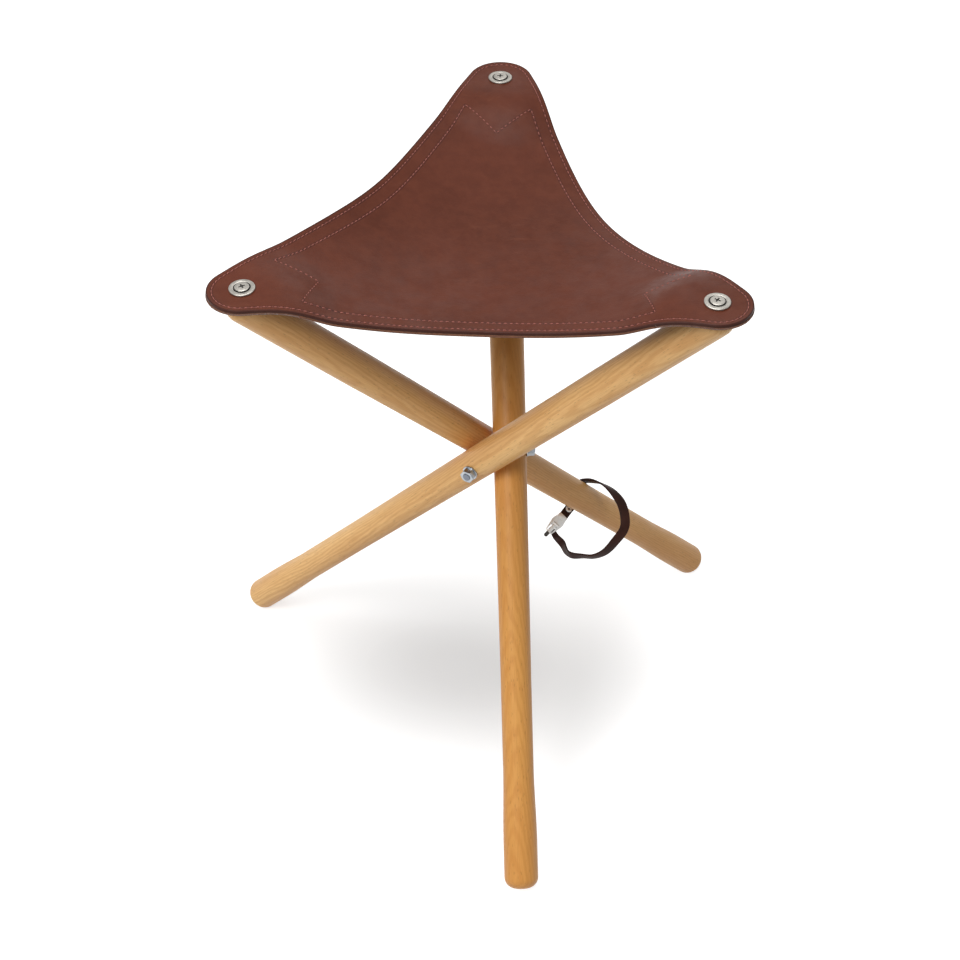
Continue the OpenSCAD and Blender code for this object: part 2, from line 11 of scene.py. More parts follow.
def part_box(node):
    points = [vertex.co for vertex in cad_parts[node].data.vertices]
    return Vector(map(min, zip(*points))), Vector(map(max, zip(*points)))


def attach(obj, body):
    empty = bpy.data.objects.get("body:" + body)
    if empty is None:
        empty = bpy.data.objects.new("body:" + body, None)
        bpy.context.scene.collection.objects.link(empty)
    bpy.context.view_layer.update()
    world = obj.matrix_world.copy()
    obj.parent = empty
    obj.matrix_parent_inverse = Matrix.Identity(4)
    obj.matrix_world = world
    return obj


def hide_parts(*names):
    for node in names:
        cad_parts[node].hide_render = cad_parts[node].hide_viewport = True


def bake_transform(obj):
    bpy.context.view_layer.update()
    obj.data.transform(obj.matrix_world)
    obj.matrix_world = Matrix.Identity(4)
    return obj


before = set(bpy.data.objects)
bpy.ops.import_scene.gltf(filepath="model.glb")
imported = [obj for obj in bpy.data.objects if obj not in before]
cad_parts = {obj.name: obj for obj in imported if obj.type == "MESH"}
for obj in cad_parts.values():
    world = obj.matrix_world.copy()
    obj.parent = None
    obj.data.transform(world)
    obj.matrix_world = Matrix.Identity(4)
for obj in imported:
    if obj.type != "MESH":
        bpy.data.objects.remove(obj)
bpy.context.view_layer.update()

bl_info = {
    "name": "Tripod folding stool",
    "version": (1, 0, 0),
    "blender": (4, 5, 0),
    "location": "View3D > Sidebar > Stool",
    "description": "Leather seat, stitching, turned legs and metal fittings of a tripod folding stool",
    "category": "Add Mesh",
}

MM = 0.001
CORNERS = ("right", "rear", "left")
CORNER_AZ = (-30, 90, 210)
EDGES = ("back_right", "back_left", "front")
EDGE_AZ = (30, 150, 270)

# Millimetres from the seat's edge at which its mesh has lines, closest together beside the seams
SEAT_LINES = (
    0, 1.5, 2.5, 3.4, 4.2, 5, 5.8, 6.6, 8, 9.6, 11.25, 12.9, 14.4, 15.8, 16.7, 17.5, 18.3, 19.2, 20.6, 22.2, 24,
)
# Steps from the last of those lines to the middle, and round a quarter of a cut edge
SEAT_STEPS, ROUND_STEPS = 44, 4
# In millimetres: radius of a cup washer's recess, reach and height of the cross in a screw's head, within which their
# faces get painted shade
CUP_RECESS, CROSS_REACH, CROSS_TOP = 8, 2.9, 2.5
# From the lever's pin to the start of its dark tip
LEVER_BRIGHT = 13.5


def paint(red, green, blue):
    """A colour as it is seen on a screen, from 0 to 255, turned into the linear one that shaders use."""
    return tuple(
        c / 12.92 if c <= 0.04045 else ((c + 0.055) / 1.055) ** 2.4
        for c in (red / 255, green / 255, blue / 255)
    )


def shade(colour, share):
    return tuple(v * share for v in colour)


def colour_prop(name, description, default):
    return bpy.props.FloatVectorProperty(
        name=name, description=description, default=default, subtype="COLOR", size=3, min=0, max=1
    )


def length_prop(name, description, millimetres):
    return bpy.props.FloatProperty(
        name=name, description=description, default=millimetres * MM, unit="LENGTH", precision=4
    )


def angle_prop(name, description, degrees):
    return bpy.props.FloatProperty(
        name=name, description=description, default=math.radians(degrees), subtype="ANGLE"
    )


class StoolFrameSizes(bpy.types.PropertyGroup):
    open_angle: angle_prop("Lean", "Lean of each leg from the vertical", 41.5)
    upper_length: length_prop("Upper length", "Along a leg from the bolt to the centre of its dome", 367)
    lower_length: length_prop("Lower length", "Along a leg from the bolt to the end of its foot", 455)
    arm_reach: length_prop("Arm reach", "From the middle of the bolt to a leg's centre line", 22)
    foot_radius: length_prop("Foot radius", "Radius of a leg at its foot", 17.6)
    foot_round: length_prop("Foot rounding", "Rounding of the rim of a foot", 11)


class StoolSeatSizes(bpy.types.PropertyGroup):
    thickness: length_prop("Leather", "Thickness of the top leather", 2.8)
    lining: length_prop("Lining", "Thickness of the patches and strips under the edge", 2.4)
    gap: length_prop("Gap", "Gap between the layers", 0.3)
    corner_round: length_prop("Corner radius", "Radius of the seat's corners", 32.5)
    edge_bow: length_prop("Bow", "How far the middle of an edge lies outside the line of the screws", 7.5)
    edge_bend: bpy.props.FloatProperty(name="Bend", description="Share of the edge that bends", default=0.27)
    sag: length_prop("Sag", "Depth of the middle below the screws", 49)
    front_drop: length_prop("Front drop", "Further drop of the front edge", 3)
    right_drop: length_prop("Right drop", "Further drop of the back right edge", 15)
    left_rise: length_prop("Left rise", "Rise of the back left edge", 17)
    hollow: length_prop("Hollow", "Width of the hollow in the middle", 105)
    corner_lean: angle_prop("Corner lean", "Outward lean of the leather on the leg tops", 1.5)
    corner_flat: length_prop("Corner flat", "Radius of the flat leather round a screw", 15.5)
    corner_free: length_prop("Corner free", "Radius from a screw at which the leather hangs free", 90)
    strip_width: length_prop("Strip width", "Width of the strips under the edge", 21)
    patch_length: length_prop("Patch length", "Length of a corner patch along the edge", 55)
    patch_point: length_prop("Patch point", "From a screw to the point of its patch", 80)
    screw_hole: length_prop("Screw hole", "Radius of the hole for a corner screw", 3.5)
    dome_flat: length_prop("Dome flat", "From the flat of a leg's top to the centre of its dome", 11)
    edge_softness: length_prop("Edge softness", "Rounding of the cut edges", 0.8)


class StoolSewing(bpy.types.PropertyGroup):
    outer_seam: length_prop("Outer seam", "Distance of the outer seam from the edge", 5)
    inner_seam: length_prop("Inner seam", "Distance of the inner seam from the edge", 17.5)
    patch_seam: length_prop("Patch seam", "Distance of the patch's seam from its pointed end", 4)
    pitch: length_prop("Stitch pitch", "Distance from stitch to stitch", 5.2)
    stitch: length_prop("Stitch length", "Length of thread that shows in each stitch", 3.4)
    thread_radius: length_prop("Thread radius", "Radius of the thread", 0.56)
    groove: length_prop("Seam groove", "Depth to which the thread pulls the leather in", 0.45)


class StoolColours(bpy.types.PropertyGroup):
    leather: colour_prop("Leather", "Grain side of the seat", paint(91, 44, 29))
    leather_deep: colour_prop("Leather, deep", "Darker clouds in the seat's grain", paint(78, 35, 20))
    flesh: colour_prop("Flesh side", "Rough underside of the leather", paint(132, 88, 64))
    edge: colour_prop("Edge", "Burnished cut edge of the leather", paint(38, 18, 15))
    thread: colour_prop("Thread", "Sewing thread", paint(162, 98, 86))
    beech: colour_prop("Beech", "Oiled beech", paint(230, 167, 89))
    beech_pale: colour_prop("Beech, pale", "The palest of the three legs", paint(255, 208, 140))
    beech_deep: colour_prop("Beech, deep", "Darker growth rings", paint(203, 130, 58))
    fleck: colour_prop("Fleck", "Short dark flecks in the beech", paint(128, 74, 34))
    nickel: colour_prop("Nickel", "Satin nickel of washers, screws and clasp", (0.5, 0.475, 0.43))
    zinc: colour_prop("Zinc", "Zinc plating of the nuts, washers and pin", (0.42, 0.45, 0.48))
    bolt: colour_prop("Bolt", "Darker steel of the bolt's threaded ends", (0.2, 0.22, 0.26))
    strap: colour_prop("Strap", "Dark leather of the strap", paint(54, 26, 17))


class StoolView(bpy.types.PropertyGroup):
    focal_length: bpy.props.FloatProperty(
        name="Focal length", description="In millimetres on a 36 mm sensor", default=74.75
    )
    azimuth: angle_prop("Azimuth", "Turn of the view round the stool", -4.02)
    elevation: angle_prop("Elevation", "Height of the view above the horizon", 42.52)
    roll: angle_prop("Roll", "Turn of the picture", -0.79)
    distance: length_prop("Distance", "From the camera to the point that it looks at", 2089.68)
    aim_across: length_prop("Aim across", "Sideways place of that point", -9.29)
    aim_height: length_prop("Aim height", "Height of that point", 305.04)


# Seat: its heights and outline, in millimetres


def mm(metres):
    return metres / MM


def towards(degrees):
    return np.array([math.cos(math.radians(degrees)), math.sin(math.radians(degrees))])


def smooth(v):
    v = np.clip(v, 0, 1)
    return v * v * (3 - 2 * v)


class SeatShape:
    """The seat's surface and outline, worked out from the same sizes as the part's own seat."""

    def __init__(self, scene):
        f, s, w = scene.stool_frame, scene.stool_seat, scene.stool_sewing
        self.thick, self.lining, self.gap = mm(s.thickness), mm(s.lining), mm(s.gap)
        self.stack = self.thick + self.lining + 2 * self.gap
        self.round, self.bow, self.bend = mm(s.corner_round), mm(s.edge_bow), s.edge_bend
        self.sag, self.hollow = mm(s.sag), mm(s.hollow)
        self.edge_lift = (-mm(s.right_drop), mm(s.left_rise), -mm(s.front_drop))
        self.lean = math.tan(s.corner_lean)
        self.flat, self.free = mm(s.corner_flat), mm(s.corner_free)
        self.strip, self.point = mm(s.strip_width), mm(s.patch_point)
        self.hole, self.soft = mm(s.screw_hole), mm(s.edge_softness)
        hub_z = (mm(f.lower_length) - mm(f.foot_round)) * math.cos(f.open_angle)
        hub_z += (mm(f.foot_radius) - mm(f.foot_round)) * math.sin(f.open_angle) + mm(f.foot_round)
        self.hub_z = hub_z
        rise = mm(s.dome_flat) + self.stack
        reach = math.hypot(mm(f.arm_reach), mm(f.upper_length) * math.sin(f.open_angle))
        self.screw_r = reach + rise * math.sin(s.corner_lean)
        self.screw_z = hub_z + mm(f.upper_length) * math.cos(f.open_angle) + rise * math.cos(s.corner_lean)
        self.half_edge = self.screw_r * math.sin(math.radians(60))
        self.edge_dist = self.screw_r / 2
        e = self.bend
        slope = 1 / (math.sqrt(1 + e * e) * (math.sqrt(1 + e * e) - e))
        self.turn = math.atan((self.round - self.bow) * slope / self.half_edge)
        self.edge_end = self.half_edge - self.round * math.sin(self.turn)
        self.patch_t = 1 - (mm(s.patch_length) - self.round * math.sin(self.turn)) / self.edge_end
        self.outer, self.inner = mm(w.outer_seam), mm(w.inner_seam)
        self.patch_seam, self.groove = mm(w.patch_seam), mm(w.groove)

    def ridges(self, p):
        return sum(np.sqrt((p @ towards(a)) ** 2 + self.hollow**2) - self.hollow for a in CORNER_AZ)

    def height(self, p):
        """Height of the top leather above the plan points p."""
        at_screw = self.ridges(self.screw_r * towards(CORNER_AZ[0]))
        hanging = -self.sag * (1 - self.ridges(p) / at_screw)
        for az, lift in zip(EDGE_AZ, self.edge_lift):
            out = np.maximum(0, p @ towards(az)) / self.edge_dist
            along = (p @ towards(az - 90)) / self.half_edge
            hanging = hanging + lift * out**2 * np.maximum(0, 1 - along**2) ** 2
        freedom, lying = 1, 0
        for az in CORNER_AZ:
            away = np.linalg.norm(p - self.screw_r * towards(az), axis=-1)
            free = smooth((away - self.flat) / (self.free - self.flat))
            freedom = freedom * free
            lying = lying - (p @ towards(az) - self.screw_r) * self.lean * (1 - free)
        return self.screw_z + hanging * freedom + lying

    def normal(self, p):
        """Upward normal of the top leather at the plan points p."""
        h = 0.05
        dx = (self.height(p + [h, 0]) - self.height(p - [h, 0])) / (2 * h)
        dy = (self.height(p + [0, h]) - self.height(p - [0, h])) / (2 * h)
        n = np.stack([-dx, -dy, np.ones_like(dx)], -1)
        return n / np.linalg.norm(n, axis=-1, keepdims=True)

    def edge_point(self, t):
        """Outline point and outward direction at t along the half edge, 0 at its middle, for the corner on +X."""

        def at(v):
            e = self.bend
            bent = (np.sqrt(v * v + e * e) - e) / (math.sqrt(1 + e * e) - e)
            out = self.edge_dist + self.bow + (self.round * math.cos(self.turn) - self.bow) * bent
            return out[:, None] * towards(60) + (v * self.edge_end)[:, None] * towards(-30)

        t = np.atleast_1d(np.asarray(t, float))
        ahead = at(t + 1e-4) - at(t - 1e-4)
        ahead /= np.linalg.norm(ahead, axis=1, keepdims=True)
        return at(t), np.stack([-ahead[:, 1], ahead[:, 0]], 1)

    def outline(self, edge_steps, arc_steps):
        """Outline of one corner's third of the seat, from edge middle to edge middle, with outward directions."""
        p, n = self.edge_point(np.linspace(0, 1, edge_steps + 1))
        a = np.radians(60) + self.turn
        a = a * (1 - np.arange(1, arc_steps + 1) / arc_steps)
        around = np.stack([np.cos(a), np.sin(a)], 1)
        p = np.vstack([p, np.array([self.screw_r, 0]) + self.round * around])
        n = np.vstack([n, around])
        flip = np.array([1, -1])
        return np.vstack([p, p[-2::-1] * flip]), np.vstack([n, n[-2::-1] * flip])

    def seams_from(self, p, from_edge):
        """Distance of the plan points p, given for the corner on +X, from the nearest seam on its patch or edges."""
        nearest = np.abs(from_edge - self.outer)
        side = np.stack([p[..., 0], np.abs(p[..., 1])], -1)
        apex, end = self.patch_seam_line()
        along = (side - apex) @ (end - apex) / ((end - apex) @ (end - apex))
        on_v = apex + np.clip(along, 0, 1)[..., None] * (end - apex)
        nearest = np.minimum(nearest, np.linalg.norm(side - on_v, axis=-1))
        past_end = (side - end) @ towards(-30) <= 0
        return np.where(past_end, np.minimum(nearest, np.abs(from_edge - self.inner)), nearest)

    def patch_seam_line(self):
        """The patch's seam on the +Y side, from its point to the inner seam, for the corner on +X."""
        p, n = self.edge_point(self.patch_t)
        apex = np.array([self.screw_r - self.point + 1.6 * self.patch_seam, 0])
        rim = p[0] + towards(-30) * self.patch_seam
        along = rim - apex
        reach = 1 - self.inner / abs(along @ towards(60))
        return apex, apex + along * reach


def turned(p, az):
    c, s = math.cos(math.radians(az)), math.sin(math.radians(az))
    return np.stack([p[..., 0] * c - p[..., 1] * s, p[..., 0] * s + p[..., 1] * c], -1)


def rim_of(rows, cols):
    """Indices round a grid of rows by cols, in order."""
    top = [(0, c) for c in range(cols)]
    right = [(r, cols - 1) for r in range(1, rows)]
    bottom = [(rows - 1, c) for c in range(cols - 2, -1, -1)]
    left = [(r, 0) for r in range(rows - 2, 0, -1)]
    return top + right + bottom + left


def new_object(name, points, faces):
    """An object from points in metres and their faces."""
    mesh = bpy.data.meshes.new(name)
    mesh.from_pydata(points, [], faces)
    obj = bpy.data.objects.new(name, mesh)
    bpy.context.scene.collection.objects.link(obj)
    return obj


def join_points(verts, faces, kinds):
    """Makes one of the points that fall together, such as those at the seat's middle."""
    keys, first, merged = {}, [], []
    for i, v in enumerate(np.round(verts, 4)):
        k = keys.setdefault(tuple(v), len(first))
        if k == len(first):
            first.append(i)
        merged.append(k)
    kept = []
    for face, kind in zip(faces, kinds):
        corners = list(dict.fromkeys(merged[i] for i in face))
        if len(corners) > 2:
            kept.append((corners, kind))
    return first, [corners for corners, _ in kept], [kind for _, kind in kept]


def leather_sheet(name, shape, plan, out, down, thick, attributes=None, bulge=None):
    """A sheet with softly rounded free edges over a grid of plan points.

    out gives the outward plan direction at each point of the rim, and nothing where the sheet carries on
    into the next one. The finished mesh keeps the true surface's normals, so sheets that meet show no line.
    """
    rows, cols = plan.shape[:2]
    rim = rim_of(rows, cols)
    flat = plan.reshape(-1, 2)
    n_flat = len(flat)
    rim_index = np.array([r * cols + c for r, c in rim])
    rim_out = np.array([out.get(rc, (0.0, 0.0)) for rc in rim])
    outline = flat[rim_index].copy()
    inset = flat.copy()
    inset[rim_index] -= rim_out * shape.soft
    up = shape.normal(inset)

    def solid(p, depth, extra=0):
        return np.column_stack([p, shape.height(p) + extra]) - shape.normal(p) * depth

    extra = 0 if bulge is None else bulge.reshape(-1)
    top = solid(inset, down, extra)
    bottom = solid(inset, down + thick, extra if down == 0 else 0)
    verts, normals = [top, bottom], [up, -up]
    rings = [rim_index]
    rim_up = up[rim_index]
    side = np.column_stack([rim_out, np.zeros(len(rim))])
    side -= rim_up * np.sum(side * rim_up, axis=1, keepdims=True)
    length = np.linalg.norm(side, axis=1, keepdims=True)
    side = np.divide(side, length, out=np.zeros_like(side), where=length > 0)
    # Round the upper edge, straight down the side, and round the lower edge
    around = [(90 - 90 * k / ROUND_STEPS, shape.soft) for k in range(1, ROUND_STEPS + 1)]
    around += [(-90 * k / ROUND_STEPS, thick - shape.soft) for k in range(ROUND_STEPS)]
    for angle, middle in around:
        lift, share = math.sin(math.radians(angle)), math.cos(math.radians(angle))
        p = outline - rim_out * shape.soft * (1 - share)
        verts.append(solid(p, down + middle - shape.soft * lift))
        normals.append(rim_up * lift + side * share)
        rings.append(2 * n_flat + (len(rings) - 1) * len(rim) + np.arange(len(rim)))
    rings.append(rim_index + n_flat)
    verts, normals = np.vstack(verts), np.vstack(normals)
    faces, kinds = [], []
    for r in range(rows - 1):
        for c in range(cols - 1):
            a = r * cols + c
            faces.append((a, a + cols, a + cols + 1, a + 1))
            kinds.append(0)
            faces.append((a + n_flat, a + 1 + n_flat, a + cols + 1 + n_flat, a + cols + n_flat))
            kinds.append(1)
    for k in range(len(rings) - 1):
        for i in range(len(rim)):
            j = (i + 1) % len(rim)
            faces.append((rings[k][i], rings[k][j], rings[k + 1][j], rings[k + 1][i]))
            kinds.append(2)
    if np.cross(plan[1, 0] - plan[0, 0], plan[0, 1] - plan[0, 0]) < 0:
        faces = [f[::-1] for f in faces]
    first, faces, kinds = join_points(verts, faces, kinds)
    obj = new_object(name, (verts[first] * MM).tolist(), faces)
    mesh = obj.data
    mesh.polygons.foreach_set("material_index", kinds)
    lie = mesh.attributes.new("lie", "FLOAT_VECTOR", "POINT")
    lie.data.foreach_set("vector", normals[first].astype(np.float32).ravel())
    for key, values in (attributes or {}).items():
        values = values.reshape(-1)
        on_rim = values[rim_index]
        whole = np.concatenate([values, values] + [on_rim] * (len(rings) - 2))
        store = mesh.attributes.new(key, "FLOAT", "POINT")
        store.data.foreach_set("value", whole[first].astype(np.float32))
    return obj


def only(obj):
    """Selects one object alone and makes it the active one."""
    bpy.ops.object.select_all(action="DESELECT")
    obj.select_set(True)
    bpy.context.view_layer.objects.active = obj


def pierce(obj, shape, corner):
    """Cuts the hole for a corner screw through a sheet."""
    x, y = shape.screw_r * towards(CORNER_AZ[corner]) * MM
    bpy.ops.mesh.primitive_cylinder_add(
        vertices=32, radius=shape.hole * MM, depth=0.06, location=(x, y, shape.screw_z * MM)
    )
    punch = bpy.context.object
    only(obj)
    cut = obj.modifiers.new("hole", "BOOLEAN")
    cut.operation, cut.solver, cut.object = "DIFFERENCE", "EXACT", punch
    bpy.ops.object.modifier_apply(modifier=cut.name)
    bpy.data.objects.remove(punch)


def true_normals(obj):
    """Gives a sheet the normals of the real surface, which it carries since it was made."""
    mesh = obj.data
    mesh.polygons.foreach_set("use_smooth", [True] * len(mesh.polygons))
    lie = mesh.attributes["lie"]
    n = np.zeros(len(mesh.vertices) * 3, np.float32)
    lie.data.foreach_get("vector", n)
    n = n.reshape(-1, 3)
    length = np.linalg.norm(n, axis=1, keepdims=True)
    n = np.where(length > 0.1, n / np.maximum(length, 1e-6), [0, 0, 1])
    mesh.attributes.remove(lie)
    mesh.normals_split_custom_set_from_vertices(n.tolist())


def follow_leg(obj):
    """Bakes the sheet's place into its mesh."""
    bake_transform(obj)


def dress(obj, *materials):
    obj.data.materials.clear()
    for m in materials:
        obj.data.materials.append(m)


# Materials


class Tree:
    """A node tree, with short names for the nodes that finishes and sky share."""

    def __init__(self, tree):
        self.tree = tree

    def add(self, kind, **settings):
        node = self.tree.nodes.new(kind)
        for key, value in settings.items():
            setattr(node, key, value)
        return node

    def put(self, socket, value):
        if isinstance(value, bpy.types.NodeSocket):
            self.tree.links.new(value, socket)
        elif isinstance(value, tuple) and len(value) == 3 and socket.type == "RGBA":
            socket.default_value = (*value, 1)
        else:
            socket.default_value = value

    def fill(self, node, **values):
        """Puts the values on the node's sockets of those names, with _ for a space."""
        for key, value in values.items():
            self.put(node.inputs[key.replace("_", " ")], value)
        return node

    def math(self, operation, *values):
        node = self.add("ShaderNodeMath", operation=operation)
        for socket, value in zip(node.inputs, values):
            self.put(socket, value)
        return node.outputs[0]

    def span(self, value, low, high, to_low=0.0, to_high=1.0, ease="SMOOTHSTEP"):
        """value, taken from low..high to to_low..to_high."""
        node = self.add("ShaderNodeMapRange", interpolation_type=ease)
        self.fill(node, Value=value, From_Min=low, From_Max=high, To_Min=to_low, To_Max=to_high)
        return node.outputs["Result"]


class Finish(Tree):
    """A material's node tree, with short names for what the finishes below are made of."""

    def __init__(self, name):
        self.material = bpy.data.materials.new(name)
        self.material.use_nodes = True
        super().__init__(self.material.node_tree)
        self.shader = self.tree.nodes["Principled BSDF"]
        self.object = self.add("ShaderNodeTexCoord").outputs["Object"]

    def mapping(self, vector, location=(0, 0, 0), rotation=(0, 0, 0), scale=(1, 1, 1), kind="POINT"):
        node = self.add("ShaderNodeMapping", vector_type=kind)
        return self.fill(node, Vector=vector, Location=location, Rotation=rotation, Scale=scale).outputs[0]

    def noise(self, vector, scale, detail=3.0, rough=0.5, distortion=0.0):
        node = self.add("ShaderNodeTexNoise")
        self.fill(node, Vector=vector, Scale=scale, Detail=detail, Roughness=rough, Distortion=distortion)
        return node.outputs["Fac"]

    def cells(self, vector, scale, feature="F1"):
        node = self.add("ShaderNodeTexVoronoi", feature=feature)
        return self.fill(node, Vector=vector, Scale=scale).outputs["Distance"]

    def mix(self, share, a, b):
        node = self.add("ShaderNodeMix", data_type="RGBA")
        for socket, value in zip((node.inputs[0], node.inputs[6], node.inputs[7]), (share, a, b)):
            self.put(socket, value)
        return node.outputs[2]

    def tint(self, colour, other, value, low, high, at_low=0.0, at_high=1.0):
        """colour, taken towards the other one by a share that follows value."""
        return self.mix(self.span(value, low, high, at_low, at_high), colour, other)

    def attribute(self, name):
        return self.add("ShaderNodeAttribute", attribute_name=name).outputs["Fac"]

    def bump(self, height, distance, strength=1.0, over=None):
        node = self.fill(self.add("ShaderNodeBump"), Height=height, Distance=distance, Strength=strength)
        if over is not None:
            self.fill(node, Normal=over)
        return node.outputs[0]

    def finish(self, colour, roughness, normal=None, **sockets):
        self.fill(self.shader, Base_Color=colour, Roughness=roughness, **sockets)
        if normal is not None:
            self.fill(self.shader, Normal=normal)
        return self.material


def leather_grain(colours):
    """Smooth full-grain leather, softly clouded and lightly waxed, darker in its seams and at its edge."""
    n = Finish("leather_grain")
    deep, light = tuple(colours.leather_deep), tuple(colours.leather)
    colour = n.tint(deep, light, n.noise(n.object, 9.0, 4.0, 0.5), 0.25, 0.75)
    mottle = n.noise(n.object, 70.0, 5.0, 0.65)
    colour = n.tint(colour, paint(116, 62, 42), mottle, 0.3, 0.7, 0.0, 0.22)
    pull_up = n.noise(n.mapping(n.object, scale=(1, 2.2, 1)), 26.0, 6.0, 0.7, 0.6)
    colour = n.tint(colour, paint(126, 74, 54), pull_up, 0.58, 0.8, 0.0, 0.3)
    pores = n.cells(n.object, 900.0)
    colour = n.tint(colour, paint(58, 26, 18), pores, 0.0, 0.35, 0.25, 0.0)
    colour = n.tint(colour, paint(54, 22, 18), n.attribute("from_seam"), 0.4, 2.1, 0.6, 0.0)
    colour = n.tint(colour, tuple(colours.edge), n.attribute("from_edge"), 0.2, 1.8, 0.6, 0.0)
    rough = n.span(n.noise(n.object, 48.0, 5.0, 0.65), 0.3, 0.7, 0.34, 0.5)
    creases = n.cells(n.mapping(n.object, scale=(1, 1.6, 1)), 120.0, "DISTANCE_TO_EDGE")
    normal = n.bump(n.noise(n.object, 420.0, 5.0, 0.65), 0.00022, 0.5)
    normal = n.bump(n.span(creases, 0.0, 0.08), 0.00012, 0.14, normal)
    normal = n.bump(pores, 0.0001, 0.35, normal)
    normal = n.bump(n.noise(n.object, 14.0, 2.0, 0.5), 0.002, 0.16, normal)
    return n.finish(colour, rough, normal, Specular_IOR_Level=0.16)


def leather_flesh(colours):
    """The rough, fibrous underside of the leather."""
    n = Finish("leather_flesh")
    base = tuple(colours.flesh)
    fibre = n.noise(n.mapping(n.object, rotation=(0, 0, 0.9), scale=(1, 3, 1)), 260.0, 6.0, 0.7, 0.6)
    colour = n.tint(paint(104, 70, 54), base, fibre, 0.3, 0.7)
    colour = n.tint(colour, paint(92, 58, 44), n.noise(n.object, 22.0, 3.0), 0.35, 0.7, 0.0, 0.4)
    normal = n.bump(fibre, 0.0006, 0.6)
    normal = n.bump(n.noise(n.object, 1400.0, 3.0, 0.6), 0.0002, 0.6, normal)
    return n.finish(colour, 0.88, normal, Specular_IOR_Level=0.2, Sheen_Weight=0.25, Sheen_Roughness=0.5)


def leather_edge(colours):
    """Cut edge, stained dark and burnished, with the layers of the hide just showing."""
    n = Finish("leather_edge")
    layers = n.noise(n.mapping(n.object, scale=(1, 1, 9)), 160.0, 4.0, 0.6)
    colour = n.tint(tuple(colours.edge), paint(54, 27, 21), layers, 0.35, 0.7)
    rough = n.span(layers, 0.3, 0.7, 0.5, 0.68)
    return n.finish(colour, rough, n.bump(layers, 0.0004, 0.5), Specular_IOR_Level=0.12)


def sewing_thread(colours):
    """Waxed thread with its twist."""
    n = Finish("sewing_thread")
    twist = n.noise(n.object, 1800.0, 2.0, 0.5)
    colour = n.tint(shade(colours.thread, 0.62), tuple(colours.thread), twist, 0.35, 0.65)
    return n.finish(colour, 0.62, n.bump(twist, 0.0002, 0.7), Specular_IOR_Level=0.3)


def needle_hole():
    """The dark bottom of the hole that a stitch goes down: painted shade."""
    n = Finish("needle_hole")
    colour = n.mix(n.noise(n.object, 900.0), paint(26, 14, 12), paint(44, 24, 20))
    return n.finish(colour, 0.9, Specular_IOR_Level=0.1)


def beech_wood(colours, name, place, pith, tilt, pale):
    """Oiled beech: growth rings that arch where the turning cuts them, fine pores and short dark flecks."""
    n = Finish(name)
    turn = place.to_euler("XYZ")
    along = n.mapping(n.object, tuple(place.translation), tuple(turn), (1, 1, 1), "TEXTURE")
    rings_at = n.mapping(along, (pith[0], pith[1], 0), (tilt[0], tilt[1], 0))
    wobble = n.noise(n.mapping(along, scale=(1, 1, 0.16)), 42.0, 4.0, 0.55)
    ring_width = 0.0024
    parts = n.fill(n.add("ShaderNodeSeparateXYZ"), Vector=rings_at)
    squares = [n.math("POWER", parts.outputs[k], 2.0) for k in (0, 1)]
    far = n.math("SQRT", n.math("ADD", *squares))
    far = n.math("ADD", far, n.math("MULTIPLY", wobble, 0.011))
    ring = n.math("SINE", n.math("MULTIPLY", far, 2 * math.pi / ring_width))
    ring = n.span(ring, -0.7, 1.0)
    broad = n.noise(n.mapping(along, scale=(1, 1, 0.1)), 38.0, 3.0, 0.5)
    deep = tuple(colours.beech_deep)
    light = tuple(a + (b - a) * pale for a, b in zip(colours.beech, colours.beech_pale))
    colour = n.tint(light, deep, broad, 0.3, 0.72, 0.0, 0.4)
    colour = n.mix(n.math("MULTIPLY", ring, 0.28), colour, deep)
    fine = n.noise(n.mapping(along, scale=(1, 1, 0.035)), 1500.0, 3.0, 0.6)
    colour = n.tint(colour, shade(deep, 0.8), fine, 0.35, 0.7, 0.0, 0.22)
    fleck_at = n.mapping(along, (3.1 * pith[0], 2.7, 0.3), scale=(1, 1, 0.17))
    fleck = n.cells(fleck_at, 560.0)
    rare = n.span(n.noise(fleck_at, 110.0, 2.0), 0.36, 0.52)
    fleck = n.math("MULTIPLY", n.span(fleck, 0.1, 0.24, 1.0, 0.0), rare)
    colour = n.mix(n.math("MULTIPLY", fleck, 0.34), colour, tuple(colours.fleck))
    rough = n.span(fine, 0.3, 0.7, 0.36, 0.5)
    normal = n.bump(fine, 0.00012, 0.35)
    normal = n.bump(fleck, -0.0002, 0.3, normal)
    return n.finish(colour, rough, normal, Specular_IOR_Level=0.34)


def plated(name, base, rough, brush):
    """Plated steel with fine brush marks and the faint blotches of its plating."""
    n = Finish(name)
    marks = n.noise(n.mapping(n.object, scale=brush), 900.0, 4.0, 0.6)
    blotch = n.noise(n.object, 190.0, 3.0, 0.6)
    colour = n.tint(shade(base, 0.84), tuple(base), blotch, 0.3, 0.7)
    wear = n.math("ADD", n.math("MULTIPLY", marks, 0.6), n.math("MULTIPLY", blotch, 0.4))
    roughness = n.span(wear, 0.3, 0.7, rough - 0.07, rough + 0.09)
    return n.finish(colour, roughness, n.bump(marks, 0.00004, 0.3), Metallic=1.0)


def strap_leather(colours):
    """Dark bridle leather with a tight grain, waxed and softly clouded."""
    n = Finish("strap_leather")
    base = tuple(colours.strap)
    clouds = n.noise(n.object, 90.0, 4.0, 0.6)
    colour = n.tint(shade(base, 0.75), shade(base, 1.2), clouds, 0.3, 0.7)
    pores = n.cells(n.object, 1500.0)
    colour = n.tint(colour, shade(base, 0.4), pores, 0.0, 0.3, 0.3, 0.0)
    rough = n.span(clouds, 0.3, 0.7, 0.34, 0.5)
    normal = n.bump(n.noise(n.object, 700.0, 4.0, 0.6), 0.00015, 0.5)
    normal = n.bump(pores, 0.00008, 0.4, normal)
    return n.finish(colour, rough, normal, Specular_IOR_Level=0.17)


# Pieces


